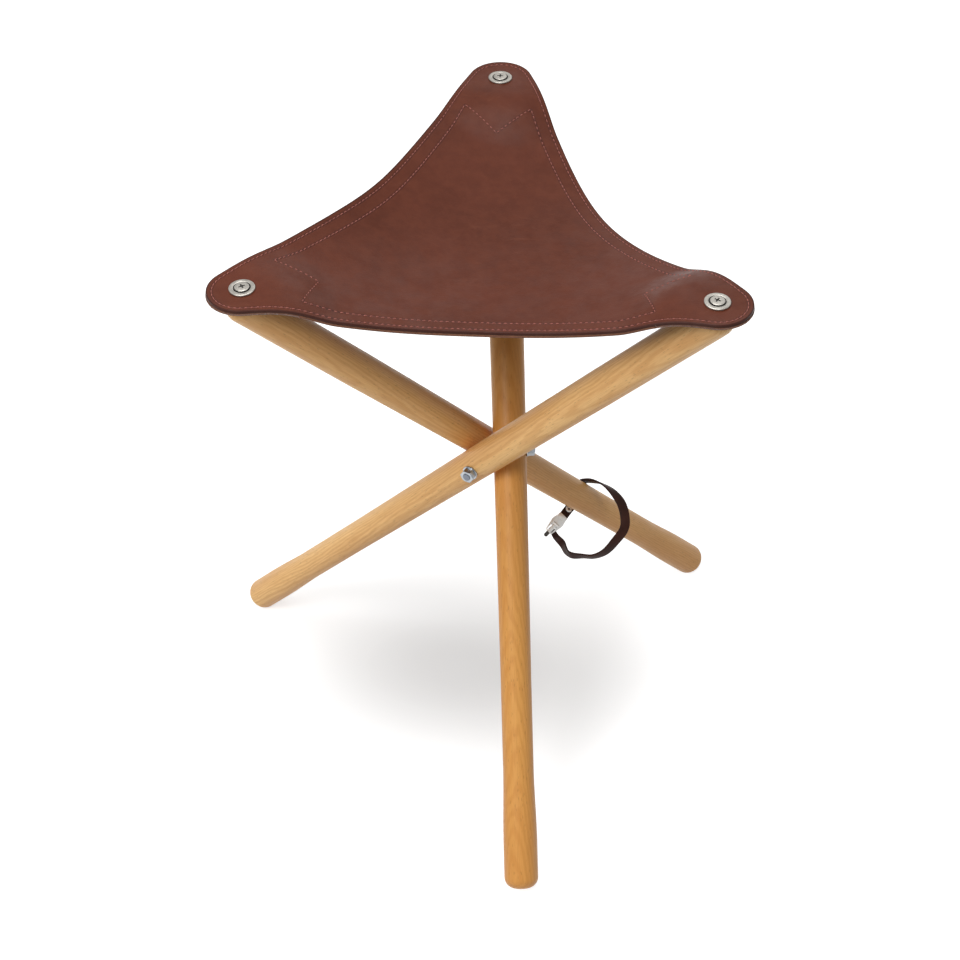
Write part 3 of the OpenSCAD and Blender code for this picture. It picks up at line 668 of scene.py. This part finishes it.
class STOOL_OT_seat(bpy.types.Operator):
    """The seat's top leather, as three thirds, one at each corner"""

    bl_idname = "stool.seat"
    bl_label = "Seat leather"

    def execute(self, context):
        shape = SeatShape(context.scene)
        grain, flesh, edge = (
            make(context.scene.stool_colours) for make in (leather_grain, leather_flesh, leather_edge)
        )
        outline, outward = shape.outline(edge_steps=66, arc_steps=16)
        inwards = range(1, SEAT_STEPS + 1)
        lines = [outline - outward * d for d in SEAT_LINES]
        inmost = lines[-1]
        plan = np.stack(lines + [inmost * (1 - k / SEAT_STEPS) for k in inwards], 1)
        reach = np.linalg.norm(inmost, axis=1)
        from_edge = [np.full(len(outline), float(d)) for d in SEAT_LINES]
        from_edge += [SEAT_LINES[-1] + reach * k / SEAT_STEPS for k in inwards]
        from_edge = np.stack(from_edge, 1)
        from_seam = shape.seams_from(plan, from_edge)
        # The thread pulls a groove into the leather, and the cup washer presses up a low swelling round itself
        groove_width, swell, swell_at, swell_width, swell_from_edge = 1.1, 0.5, 15.5, 2.6, 6
        pull = -shape.groove * np.exp(-((from_seam / groove_width) ** 2))
        from_screw = np.linalg.norm(plan - [shape.screw_r, 0], axis=-1)
        press = swell * np.exp(-(((from_screw - swell_at) / swell_width) ** 2)) * (from_edge > swell_from_edge)
        for corner, name in enumerate(CORNERS):
            third_plan = turned(plan, CORNER_AZ[corner])
            out = {(r, 0): tuple(o) for r, o in enumerate(turned(outward, CORNER_AZ[corner]))}
            petal = leather_sheet(
                "seat_third_" + name, shape, third_plan, out, 0, shape.thick,
                {"from_edge": from_edge, "from_seam": from_seam}, pull + press,
            )
            dress(petal, grain, flesh, edge)
            pierce(petal, shape, corner)
            true_normals(petal)
            follow_leg(petal)
            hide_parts("seat_leather")
        return {"FINISHED"}


def arrow_grid(shape, rows_arc, rows_patch, inner, hem):
    """Plan points of a corner patch: arrowhead rows from the corner's tip to the patch's pointed end."""
    last = rows_arc - 1 + rows_patch
    a = (math.radians(60) + shape.turn) * np.arange(1, rows_arc + 1) / rows_arc
    arc = np.array([shape.screw_r, 0]) + shape.round * np.stack([np.cos(a), np.sin(a)], 1)
    edge, _ = shape.edge_point(1 + (shape.patch_t - 1) * np.arange(1, rows_patch + 1) / rows_patch)
    side = np.vstack([arc, edge])
    grid = []
    for j in range(last + 1):
        middle = shape.screw_r + shape.round - (shape.round + shape.point) * j / last
        reach = (side[j] - [middle, 0]) @ towards(60)
        bare = least_bare = 0.7
        if reach > shape.strip:
            bare = max(least_bare, 1 - shape.strip / reach)
        shares = [bare * s / inner for s in range(inner)] + [bare + (1 - bare) * s / hem for s in range(hem + 1)]
        half = [np.array([middle + (side[j][0] - middle) * s, side[j][1] * s]) for s in shares]
        grid.append([p * [1, -1] for p in half[:0:-1]] + half)
    return np.array(grid)


def half_strip(shape, rows, slanted, lines, joint):
    """Plan points of half a strip, from the patch of the corner on +X to the middle of the edge on its +Y side."""
    row = np.arange(rows + 1)
    t = shape.patch_t * (1 - joint / (shape.patch_t * shape.edge_end)) * (1 - row / rows)
    p, n = shape.edge_point(t)
    # Its end lies along the slanted side of the patch, and further on its rows are square to the edge
    slant = np.clip(1 - row / slanted, 0, 1)[:, None]
    middle = np.array([shape.screw_r - shape.point, 0])
    inward = (middle - p) / np.abs((middle - p) @ towards(60))[:, None]
    inward = -n * (1 - slant) + inward * slant
    return np.stack([p + inward * shape.strip * k / lines for k in range(lines + 1)], 1)


def rim_directions(plan, joined=()):
    """Outward plan directions round a grid, save on the sides that carry on into another sheet."""
    rows, cols = plan.shape[:2]
    rim = rim_of(rows, cols)
    points = np.array([plan[rc] for rc in rim])
    ahead = np.roll(points, -1, 0) - points
    ahead /= np.maximum(np.linalg.norm(ahead, axis=1, keepdims=True), 1e-9)
    across = np.stack([ahead[:, 1], -ahead[:, 0]], 1)
    area = 0.5 * np.sum(points[:, 0] * np.roll(points[:, 1], -1) - np.roll(points[:, 0], -1) * points[:, 1])
    across *= 1 if area > 0 else -1
    out = {}
    for i, rc in enumerate(rim):
        sides = [across[i - 1], across[i]]
        if any(rc[0] == r for r in joined):
            if 0 < rc[1] < cols - 1:
                continue
            came_along = rim[i - 1][0] == rc[0]
            sides = [sides[1] if came_along else sides[0]]
        n = np.sum(sides, axis=0)
        out[rc] = tuple(n / np.linalg.norm(n))
    return out


class STOOL_OT_lining(bpy.types.Operator):
    """The pointed corner patches and the strips between them, under the edge of the seat"""

    bl_idname = "stool.lining"
    bl_label = "Patches and strips"

    def execute(self, context):
        shape = SeatShape(context.scene)
        flesh, edge = bpy.data.materials["leather_flesh"], bpy.data.materials["leather_edge"]
        down = shape.thick + shape.gap
        arrow = arrow_grid(shape, rows_arc=12, rows_patch=15, inner=14, hem=6)
        rows = 48
        half = half_strip(shape, rows, slanted=14, lines=6, joint=0.02)
        for corner, name in enumerate(CORNERS):
            plan = turned(arrow, CORNER_AZ[corner])
            patch = leather_sheet(
                "patch_" + name, shape, plan, rim_directions(plan), down, shape.lining
            )
            dress(patch, flesh, flesh, edge)
            pierce(patch, shape, corner)
            true_normals(patch)
            follow_leg(patch)
            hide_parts("corner_patch_" + name)
            for flip, edge_name in ((1, EDGES[corner]), (-1, EDGES[corner - 1])):
                plan = turned(half * [1, flip], CORNER_AZ[corner])
                strip = leather_sheet(
                    f"strip_{edge_name}_{name}", shape, plan, rim_directions(plan, (rows,)), down, shape.lining
                )
                dress(strip, flesh, flesh, edge)
                true_normals(strip)
                follow_leg(strip)
                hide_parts("edge_strip_" + edge_name)
        return {"FINISHED"}


def one_stitch(sewing):
    """A single stitch along X, its ends turned down."""
    r = mm(sewing.thread_radius)
    half = mm(sewing.stitch) / 2
    bpy.ops.mesh.primitive_cylinder_add(vertices=6, radius=r, depth=2 * half, rotation=(0, math.pi / 2, 0))
    thread = bpy.context.object
    bpy.ops.object.transform_apply(location=True, rotation=True, scale=True)
    mesh = bmesh.new()
    mesh.from_mesh(thread.data)
    bmesh.ops.subdivide_edges(
        mesh, edges=[e for e in mesh.edges if abs(e.verts[0].co.x - e.verts[1].co.x) > half], cuts=3
    )
    dive, narrowing, flatness = 1.5 * r, 0.3, 0.85
    for v in mesh.verts:
        towards_end = (abs(v.co.x) / half) ** 4
        v.co.z -= dive * towards_end
        v.co.y *= 1 - narrowing * towards_end
        v.co.z *= flatness
    verts = [tuple(v.co) for v in mesh.verts]
    faces = [[v.index for v in f.verts] for f in mesh.faces]
    mesh.free()
    bpy.data.objects.remove(thread)
    return np.array(verts), faces


def seam_lines(shape):
    """Lines of the outer seam, the inner one on both sides and the patch's pointed one, for the corner on +X."""
    outline, outward = shape.outline(edge_steps=200, arc_steps=60)
    apex, end = shape.patch_seam_line()
    inner = outline - outward * shape.inner
    beyond = (np.stack([inner[:, 0], np.abs(inner[:, 1])], 1) - end) @ towards(-30) <= 0
    return (
        outline - outward * shape.outer,
        inner[beyond & (inner[:, 1] > 0)][::-1],
        inner[beyond & (inner[:, 1] < 0)],
        np.array([apex, end]),
        np.array([apex, end * [1, -1]]),
    )


class STOOL_OT_stitching(bpy.types.Operator):
    """The seams: one round the edge, one further in, and the pointed one at each corner patch"""

    bl_idname = "stool.stitching"
    bl_label = "Stitching"

    def execute(self, context):
        scene = context.scene
        shape, sewing = SeatShape(scene), scene.stool_sewing
        thread, dark = sewing_thread(scene.stool_colours), needle_hole()
        stitch, stitch_faces = one_stitch(sewing)
        r = mm(sewing.thread_radius)
        # Each hole is a shallow cone in the needle hole's dark colour, which paints the shade in it
        sides, hole_long, hole_wide, hole_deep = 8, 1.5 * r, 1.25 * r, 0.25
        ring = [towards(360 / sides * k) for k in range(sides)]
        hole = np.array([(hole_long * x, hole_wide * y, 0) for x, y in ring] + [(0, 0, -hole_deep)])
        hole_faces = [[k, (k + 1) % sides, sides] for k in range(sides)]
        pitch = mm(sewing.pitch)
        for corner, name in enumerate(CORNERS):
            verts, faces, kinds = [], [], []
            for line in seam_lines(shape):
                far = np.concatenate([[0], np.cumsum(np.linalg.norm(np.diff(line, axis=0), axis=1))])
                count = max(1, round(far[-1] / pitch))
                step = far[-1] / count
                for k in range(count):
                    at, reach = (k + 0.5) * step, 0.3
                    p, a, b = (
                        np.array([np.interp(v, far, line[:, c]) for c in (0, 1)]) for v in (at, at - reach, at + reach)
                    )
                    ahead = turned((b - a) / np.linalg.norm(b - a), CORNER_AZ[corner])
                    for side in (1, -1):
                        here = turned(p, CORNER_AZ[corner])
                        up = shape.normal(here[None])[0]
                        deep = 0 if side > 0 else shape.stack - shape.gap
                        pull = shape.groove if side > 0 else 0
                        x = np.array([*ahead, 0])
                        x -= up * (x @ up)
                        x /= np.linalg.norm(x)
                        z = up * side
                        y = np.cross(z, x)
                        base = np.array([*here, shape.height(here[None])[0]]) - up * deep
                        for form, form_faces, kind, rise, shift in (
                            (stitch, stitch_faces, 0, 0.55 * r - pull, 0),
                            (hole, hole_faces, 1, 0.06 - pull * 0.8, step / 2),
                        ):
                            where = base + z * rise + x * shift
                            placed = where + form @ np.array([x, y, z])
                            faces += [[i + len(verts) for i in f] for f in form_faces]
                            kinds += [kind] * len(form_faces)
                            verts += placed.tolist()
            obj = new_object("stitching_" + name, (np.array(verts) * MM).tolist(), faces)
            obj.data.polygons.foreach_set("material_index", kinds)
            dress(obj, thread, dark)
            only(obj)
            bpy.ops.object.shade_smooth()
            follow_leg(obj)
        return {"FINISHED"}


def leg_place(sizes, corner, hub_z):
    """Place and turn of a leg's own axes: +Z runs up the leg from the bolt."""
    twist = math.atan2(sizes.upper_length * math.sin(sizes.open_angle), sizes.arm_reach)
    turn = Matrix.Rotation(math.radians(CORNER_AZ[corner]) - twist, 4, "Z")
    return turn @ Matrix.Translation((sizes.arm_reach, 0, hub_z * MM)) @ Matrix.Rotation(-sizes.open_angle, 4, "X")


class STOOL_OT_legs(bpy.types.Operator):
    """Oiled beech on the three turned legs, with each leg's grain running along it"""

    bl_idname = "stool.legs"
    bl_label = "Legs"

    def execute(self, context):
        scene = context.scene
        shape = SeatShape(scene)
        # For each leg: where the heart of its tree lay, in metres, its slant to the leg, and how pale the wood is
        piths = ((0.05, 0.02), (-0.013, -0.032), (-0.03, 0.045))
        tilts = ((0.05, 0.03), (-0.075, 0.015), (0.04, -0.05))
        pales = (1.0, 0.0, 0.62)
        for corner, name in enumerate(CORNERS):
            place = leg_place(scene.stool_frame, corner, shape.hub_z)
            wood = beech_wood(scene.stool_colours, "beech_" + name, place, piths[corner], tilts[corner], pales[corner])
            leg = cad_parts["leg_" + name]
            dress(leg, wood)
            only(leg)
            bpy.ops.object.shade_smooth_by_angle(angle=math.radians(35))
        return {"FINISHED"}


def softened(node, name, body, bevel, material):
    """A copy of a metal node with its points joined, its flats made whole and its sharp edges broken."""
    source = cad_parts[node]
    mesh = source.data.copy()
    mesh.name = name
    mesh.transform(source.matrix_world)
    mesh.materials.clear()
    obj = bpy.data.objects.new(name, mesh)
    bpy.context.scene.collection.objects.link(obj)
    only(obj)
    bpy.ops.object.mode_set(mode="EDIT")
    bpy.ops.mesh.select_all(action="SELECT")
    bpy.ops.mesh.remove_doubles(threshold=0.000002)
    bpy.ops.mesh.dissolve_limited(angle_limit=math.radians(0.6))
    bpy.ops.object.mode_set(mode="OBJECT")
    soft = obj.modifiers.new("broken edges", "BEVEL")
    soft.width, soft.segments, soft.limit_method, soft.angle_limit = bevel * MM, 2, "ANGLE", math.radians(38)
    soft.use_clamp_overlap = True
    bpy.ops.object.modifier_apply(modifier=soft.name)
    bpy.ops.object.shade_smooth_by_angle(angle=math.radians(36))
    dress(obj, material)
    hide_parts(node)
    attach(obj, body)
    return obj


def paint_dark_faces(obj, material, centre, dark):
    """Gives the dark material to the faces that dark picks, by their place from centre and normal, in millimetres; on
    the cup washers and screws it is painted shade.
    """
    obj.data.materials.append(material)
    for face in obj.data.polygons:
        away = face.center / MM - Vector(centre)
        if dark(away, face.normal):
            face.material_index = len(obj.data.materials) - 1


class STOOL_OT_bolt(bpy.types.Operator):
    """The three-armed bolt in the middle, its washers and its nuts"""

    bl_idname = "stool.bolt"
    bl_label = "Bolt, washers and nuts"

    def execute(self, context):
        zinc = plated("zinc_plating", tuple(context.scene.stool_colours.zinc), 0.3, (1, 1, 3))
        steel = plated("bolt_steel", tuple(context.scene.stool_colours.bolt), 0.36, (1, 1, 1))
        softened("tripod_bolt", "three_armed_bolt", "hub", 0.25, steel)
        for name in CORNERS:
            softened("bolt_washer_" + name, "washer_" + name, "hub", 0.25, zinc)
            softened("bolt_nut_" + name, "nut_" + name, "hub", 0.2, zinc)
        return {"FINISHED"}


class STOOL_OT_corner_screws(bpy.types.Operator):
    """The cup washers and screws that hold the leather on the leg tops"""

    bl_idname = "stool.corner_screws"
    bl_label = "Corner screws"

    def execute(self, context):
        nickel = plated("satin_nickel", tuple(context.scene.stool_colours.nickel), 0.4, (1, 1, 1))
        # Painted shade: a dark nickel standing for the shade and dark reflections in the cup washers' recesses and on
        # the screw heads' side walls and crosses
        painted_shade_nickel = plated("dark_nickel", (0.09, 0.085, 0.08), 0.55, (1, 1, 1))
        shape = SeatShape(context.scene)
        for corner, name in enumerate(CORNERS):
            screw = softened("seat_screw_" + name, "screw_" + name, "leg_" + name, 0.15, nickel)
            cup = softened("cup_washer_" + name, "cup_" + name, "leg_" + name, 0.15, nickel)
            centre = (*(shape.screw_r * towards(CORNER_AZ[corner])), shape.screw_z)
            # Painted shade: the cup washer's recess, and the screw head's side wall and cross, take the dark nickel
            paint_dark_faces(cup, painted_shade_nickel, centre, lambda away, normal: away.xy.length < CUP_RECESS)
            paint_dark_faces(
                screw, painted_shade_nickel, centre,
                lambda away, normal: abs(normal.z) < 0.35 or (away.xy.length < CROSS_REACH and away.z < CROSS_TOP),
            )
        return {"FINISHED"}


# Points of the strap's middle line beside the left leg, in millimetres: up the leg from the bolt, and across it
# in two directions. The turns, in degrees, lay its band over at those points.
STRAP_POINTS = (
    (-197.1, -1.4, -47.7), (-202.6, -1.3, -49.5), (-208.4, 4.2, -52.7), (-212, 14, -53.5),
    (-212, 25, -56), (-211, 35.5, -54.5), (-213.5, 46, -46.5), (-217.5, 55, -38.5), (-220, 61, -25.5),
    (-220, 62, -8), (-219.5, 61, 6), (-216, 56, 16), (-210, 45, 25.5), (-204, 32.5, 29.5),
    (-199.5, 18.5, 29.5), (-198, 4.5, 25), (-200.5, -7.5, 18), (-203.5, -13.5, 13), (-207, -18, 3.5),
    (-208.5, -17.5, -6.5), (-209, -12.5, -13.5), (-209.6, -8.4, -16.6), (-208.4, -7.3, -20.5),
    (-205.7, -4.7, -29.3), (-204.8, -4.1, -32.1),
)
STRAP_TURNS = (
    -95, -110, -100, -70, -50, -25, -5, 0, -10, -25, -35, -45, -35, -15, 0, 0, 0, 0, 0, 0, 0, 5, 20, 15, 2,
)


def along_strap(values, steps):
    """The values given at the strap's points, followed smoothly in so many steps from point to point."""
    p = np.array(values, float)
    last = len(p) - 1
    found = []
    for j in range(last * steps + 1):
        i = min(j // steps, last - 1)
        f = j / steps - i
        p0, p1, p2, p3 = p[max(i - 1, 0)], p[i], p[i + 1], p[min(i + 2, last)]
        found.append(
            0.5 * (2 * p1 + (p2 - p0) * f + (2 * p0 - 5 * p1 + 4 * p2 - p3) * f**2 + (3 * p1 - p0 - 3 * p2 + p3) * f**3)
        )
    return np.array(found)


def unit(v):
    return v / np.linalg.norm(v, axis=-1, keepdims=True)


def strap_route(steps):
    """The strap's route in the left leg's own axes, with the way ahead and the way outwards, in millimetres."""
    path = along_strap([(-y, -z, x) for x, y, z in STRAP_POINTS], steps)
    ahead = unit(np.gradient(path, axis=0))
    from_leg = path * [1, 1, 0]
    away = unit(from_leg - ahead * np.sum(from_leg * ahead, axis=1, keepdims=True))
    turn = np.radians(along_strap(STRAP_TURNS, steps))[:, None]
    return path, ahead, away * np.cos(turn) + np.cross(ahead, away) * np.sin(turn)


class STOOL_OT_strap(bpy.types.Operator):
    """The dark leather strap looped on the left leg"""

    bl_idname = "stool.strap"
    bl_label = "Strap"

    def execute(self, context):
        scene = context.scene
        shape = SeatShape(scene)
        steps = 10
        path, ahead, out = strap_route(steps)
        # The band widens from its tongue over the first few of the points
        tongue, widens_over, width, thick, soft = 5.4, 5, 10.4, 2.0, 0.45
        section = []
        for cx, cy, start in ((1, 1, 0), (-1, 1, 90), (-1, -1, 180), (1, -1, 270)):
            for k in range(4):
                a = math.radians(start + 30 * k)
                section.append((cx, cy, soft * math.cos(a), soft * math.sin(a)))
        place = leg_place(scene.stool_frame, 2, shape.hub_z)
        verts, faces = [], []
        n = len(section)
        for j, (p, x, o) in enumerate(zip(path, ahead, out)):
            wide = (tongue + (width - tongue) * smooth(j / steps / widens_over)) / 2
            across = np.cross(x, o)
            for cx, cy, dx, dy in section:
                q = p + across * (cx * (wide - soft) + dx) + o * (cy * (thick / 2 - soft) + dy)
                verts.append(tuple(place @ Vector(q * MM)))
            if j:
                base = (j - 1) * n
                faces += [(base + k, base + (k + 1) % n, base + n + (k + 1) % n, base + n + k) for k in range(n)]
        faces.append(tuple(range(n - 1, -1, -1)))
        faces.append(tuple(range(len(verts) - n, len(verts))))
        strap = new_object("strap_band", verts, faces)
        only(strap)
        bpy.ops.object.mode_set(mode="EDIT")
        bpy.ops.mesh.select_all(action="SELECT")
        bpy.ops.mesh.normals_make_consistent(inside=False)
        bpy.ops.object.mode_set(mode="OBJECT")
        bpy.ops.object.shade_smooth_by_angle(angle=math.radians(60))
        dress(strap, strap_leather(scene.stool_colours))
        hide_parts("strap")
        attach(strap, "strap_loop")
        return {"FINISHED"}


class STOOL_OT_clasp(bpy.types.Operator):
    """The strap's eyelet and its clasp with the swinging lever"""

    bl_idname = "stool.clasp"
    bl_label = "Eyelet and clasp"

    def execute(self, context):
        nickel = bpy.data.materials["satin_nickel"]
        zinc = bpy.data.materials["zinc_plating"]
        softened("strap_eyelet", "eyelet", "strap_loop", 0.25, nickel)
        softened("clasp_body", "clasp_plate", "strap_loop", 0.3, nickel)
        softened("clasp_pin", "lever_pin", "strap_loop", 0.15, zinc)
        lever = softened("clasp_lever", "lever", "clasp_lever", 0.25, nickel)
        low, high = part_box("clasp_pin")
        middle = Vector([(a + b) / 2 for a, b in zip(low, high)])
        tip = max((v.co - middle for v in lever.data.vertices), key=lambda away: away.length)
        dark_from = middle + tip.normalized() * LEVER_BRIGHT * MM
        mesh = bmesh.new()
        mesh.from_mesh(lever.data)
        bmesh.ops.bisect_plane(
            mesh, geom=[*mesh.verts, *mesh.edges, *mesh.faces], plane_co=dark_from, plane_no=tip
        )
        mesh.to_mesh(lever.data)
        mesh.free()
        paint_dark_faces(lever, bpy.data.materials["dark_nickel"], dark_from / MM, lambda away, normal: away.dot(tip) > 0)
        return {"FINISHED"}


class STOOL_OT_stage(bpy.types.Operator):
    """A white floor, plain soft light and the camera"""

    bl_idname = "stool.stage"
    bl_label = "Floor, light and camera"

    def execute(self, context):
        scene = context.scene
        bpy.ops.mesh.primitive_plane_add(size=14, location=(0, 0, -0.0005))
        floor = bpy.context.object
        floor.name = "studio_floor"
        n = Finish("studio_white")
        grey = n.mix(n.noise(n.object, 3.0), (0.64, 0.64, 0.64), (0.66, 0.66, 0.66))
        n.finish(grey, 0.9, Specular_IOR_Level=0.0)
        # The floor glows white to camera and glossy rays, and its glow is painted lower in an ellipse round the stool:
        # there the lamps' real shadow falls, and the glow's shape paints the shadow's soft outline
        far = n.add("ShaderNodeVectorMath", operation="LENGTH")
        n.put(far.inputs[0], n.mapping(n.object, (0.035, -0.02, 0), scale=(1, 1.55, 1)))
        glow = n.span(far.outputs["Value"], 0.02, 0.38, 0.25, 0.85)
        ray = n.add("ShaderNodeLightPath").outputs
        shown = n.math("MAXIMUM", ray["Is Camera Ray"], ray["Is Transmission Ray"])
        shown = n.math("MAXIMUM", shown, ray["Is Glossy Ray"])
        n.fill(n.shader, Emission_Color=(1.0, 1.0, 1.0), Emission_Strength=n.math("MULTIPLY", shown, glow))
        dress(floor, n.material)

        world = bpy.data.worlds.new("studio")
        scene.world = world
        world.use_nodes = True
        n = Tree(world.node_tree)
        n.tree.nodes.clear()
        ray = n.add("ShaderNodeLightPath").outputs
        shown = n.math("MAXIMUM", ray["Is Camera Ray"], ray["Is Transmission Ray"])
        shown = n.math("MULTIPLY_ADD", ray["Is Glossy Ray"], 0.66, shown)
        level = n.span(shown, 0.0, 1.0, 0.18, 1.0, "LINEAR")
        sky = n.fill(n.add("ShaderNodeBackground"), Color=(1.0, 1.0, 1.0), Strength=level)
        n.fill(n.add("ShaderNodeOutputWorld"), Surface=sky.outputs[0])

        for name, place, size, power in (
            ("overhead", (-0.1, -0.1, 2.7), 1.7, 30),
            ("front_left", (-1.1, -1.5, 2.5), 1.2, 46),
            ("back", (0.5, 2.1, 1.9), 1.2, 3),
        ):
            bpy.ops.object.light_add(type="AREA", location=place)
            lamp = bpy.context.object
            lamp.name = name
            lamp.data.size, lamp.data.energy = size, power
            under_seat = Vector((0, 0, 0.45))
            lamp.rotation_euler = (under_seat - Vector(place)).to_track_quat("-Z", "Y").to_euler()

        v = scene.stool_view
        a, e, r = v.azimuth, v.elevation, v.roll
        ahead = Vector((math.sin(a) * math.cos(e), math.cos(a) * math.cos(e), -math.sin(e)))
        right = Vector((math.cos(a), -math.sin(a), 0))
        up = right.cross(ahead)
        across = right * math.cos(r) + up * math.sin(r)
        upward = up * math.cos(r) - right * math.sin(r)
        bpy.ops.object.camera_add()
        camera = bpy.context.object
        camera.name = "camera"
        turn = Matrix((across, upward, -ahead)).transposed()
        place = Vector((v.aim_across, 0, v.aim_height)) - ahead * v.distance
        camera.matrix_world = Matrix.Translation(place) @ turn.to_4x4()
        camera.data.lens, camera.data.sensor_width = v.focal_length, 36
        scene.camera = camera
        scene.view_settings.view_transform = "Standard"
        return {"FINISHED"}


class STOOL_PT_sidebar(bpy.types.Panel):
    """Lists the stool's pieces"""

    bl_label = "Tripod stool"
    bl_idname = "STOOL_PT_sidebar"
    bl_space_type = "VIEW_3D"
    bl_region_type = "UI"
    bl_category = "Stool"

    def draw(self, context):
        column = self.layout.column()
        for piece in PIECES:
            column.operator(piece.bl_idname)


SIZES = (
    ("stool_frame", StoolFrameSizes),
    ("stool_seat", StoolSeatSizes),
    ("stool_sewing", StoolSewing),
    ("stool_colours", StoolColours),
    ("stool_view", StoolView),
)
PIECES = (
    STOOL_OT_seat,
    STOOL_OT_lining,
    STOOL_OT_stitching,
    STOOL_OT_legs,
    STOOL_OT_bolt,
    STOOL_OT_corner_screws,
    STOOL_OT_strap,
    STOOL_OT_clasp,
    STOOL_OT_stage,
)


def register():
    for name, group in SIZES:
        bpy.utils.register_class(group)
        setattr(bpy.types.Scene, name, bpy.props.PointerProperty(type=group))
    for cls in (*PIECES, STOOL_PT_sidebar):
        bpy.utils.register_class(cls)


def unregister():
    for cls in (STOOL_PT_sidebar, *PIECES[::-1]):
        bpy.utils.unregister_class(cls)
    for name, group in SIZES[::-1]:
        delattr(bpy.types.Scene, name)
        bpy.utils.unregister_class(group)


def main():
    register()
    bpy.ops.stool.seat()
    bpy.ops.stool.lining()
    bpy.ops.stool.stitching()
    bpy.ops.stool.legs()
    bpy.ops.stool.bolt()
    bpy.ops.stool.corner_screws()
    bpy.ops.stool.strap()
    bpy.ops.stool.clasp()
    bpy.ops.stool.stage()


if __name__ == "__main__":
    main()
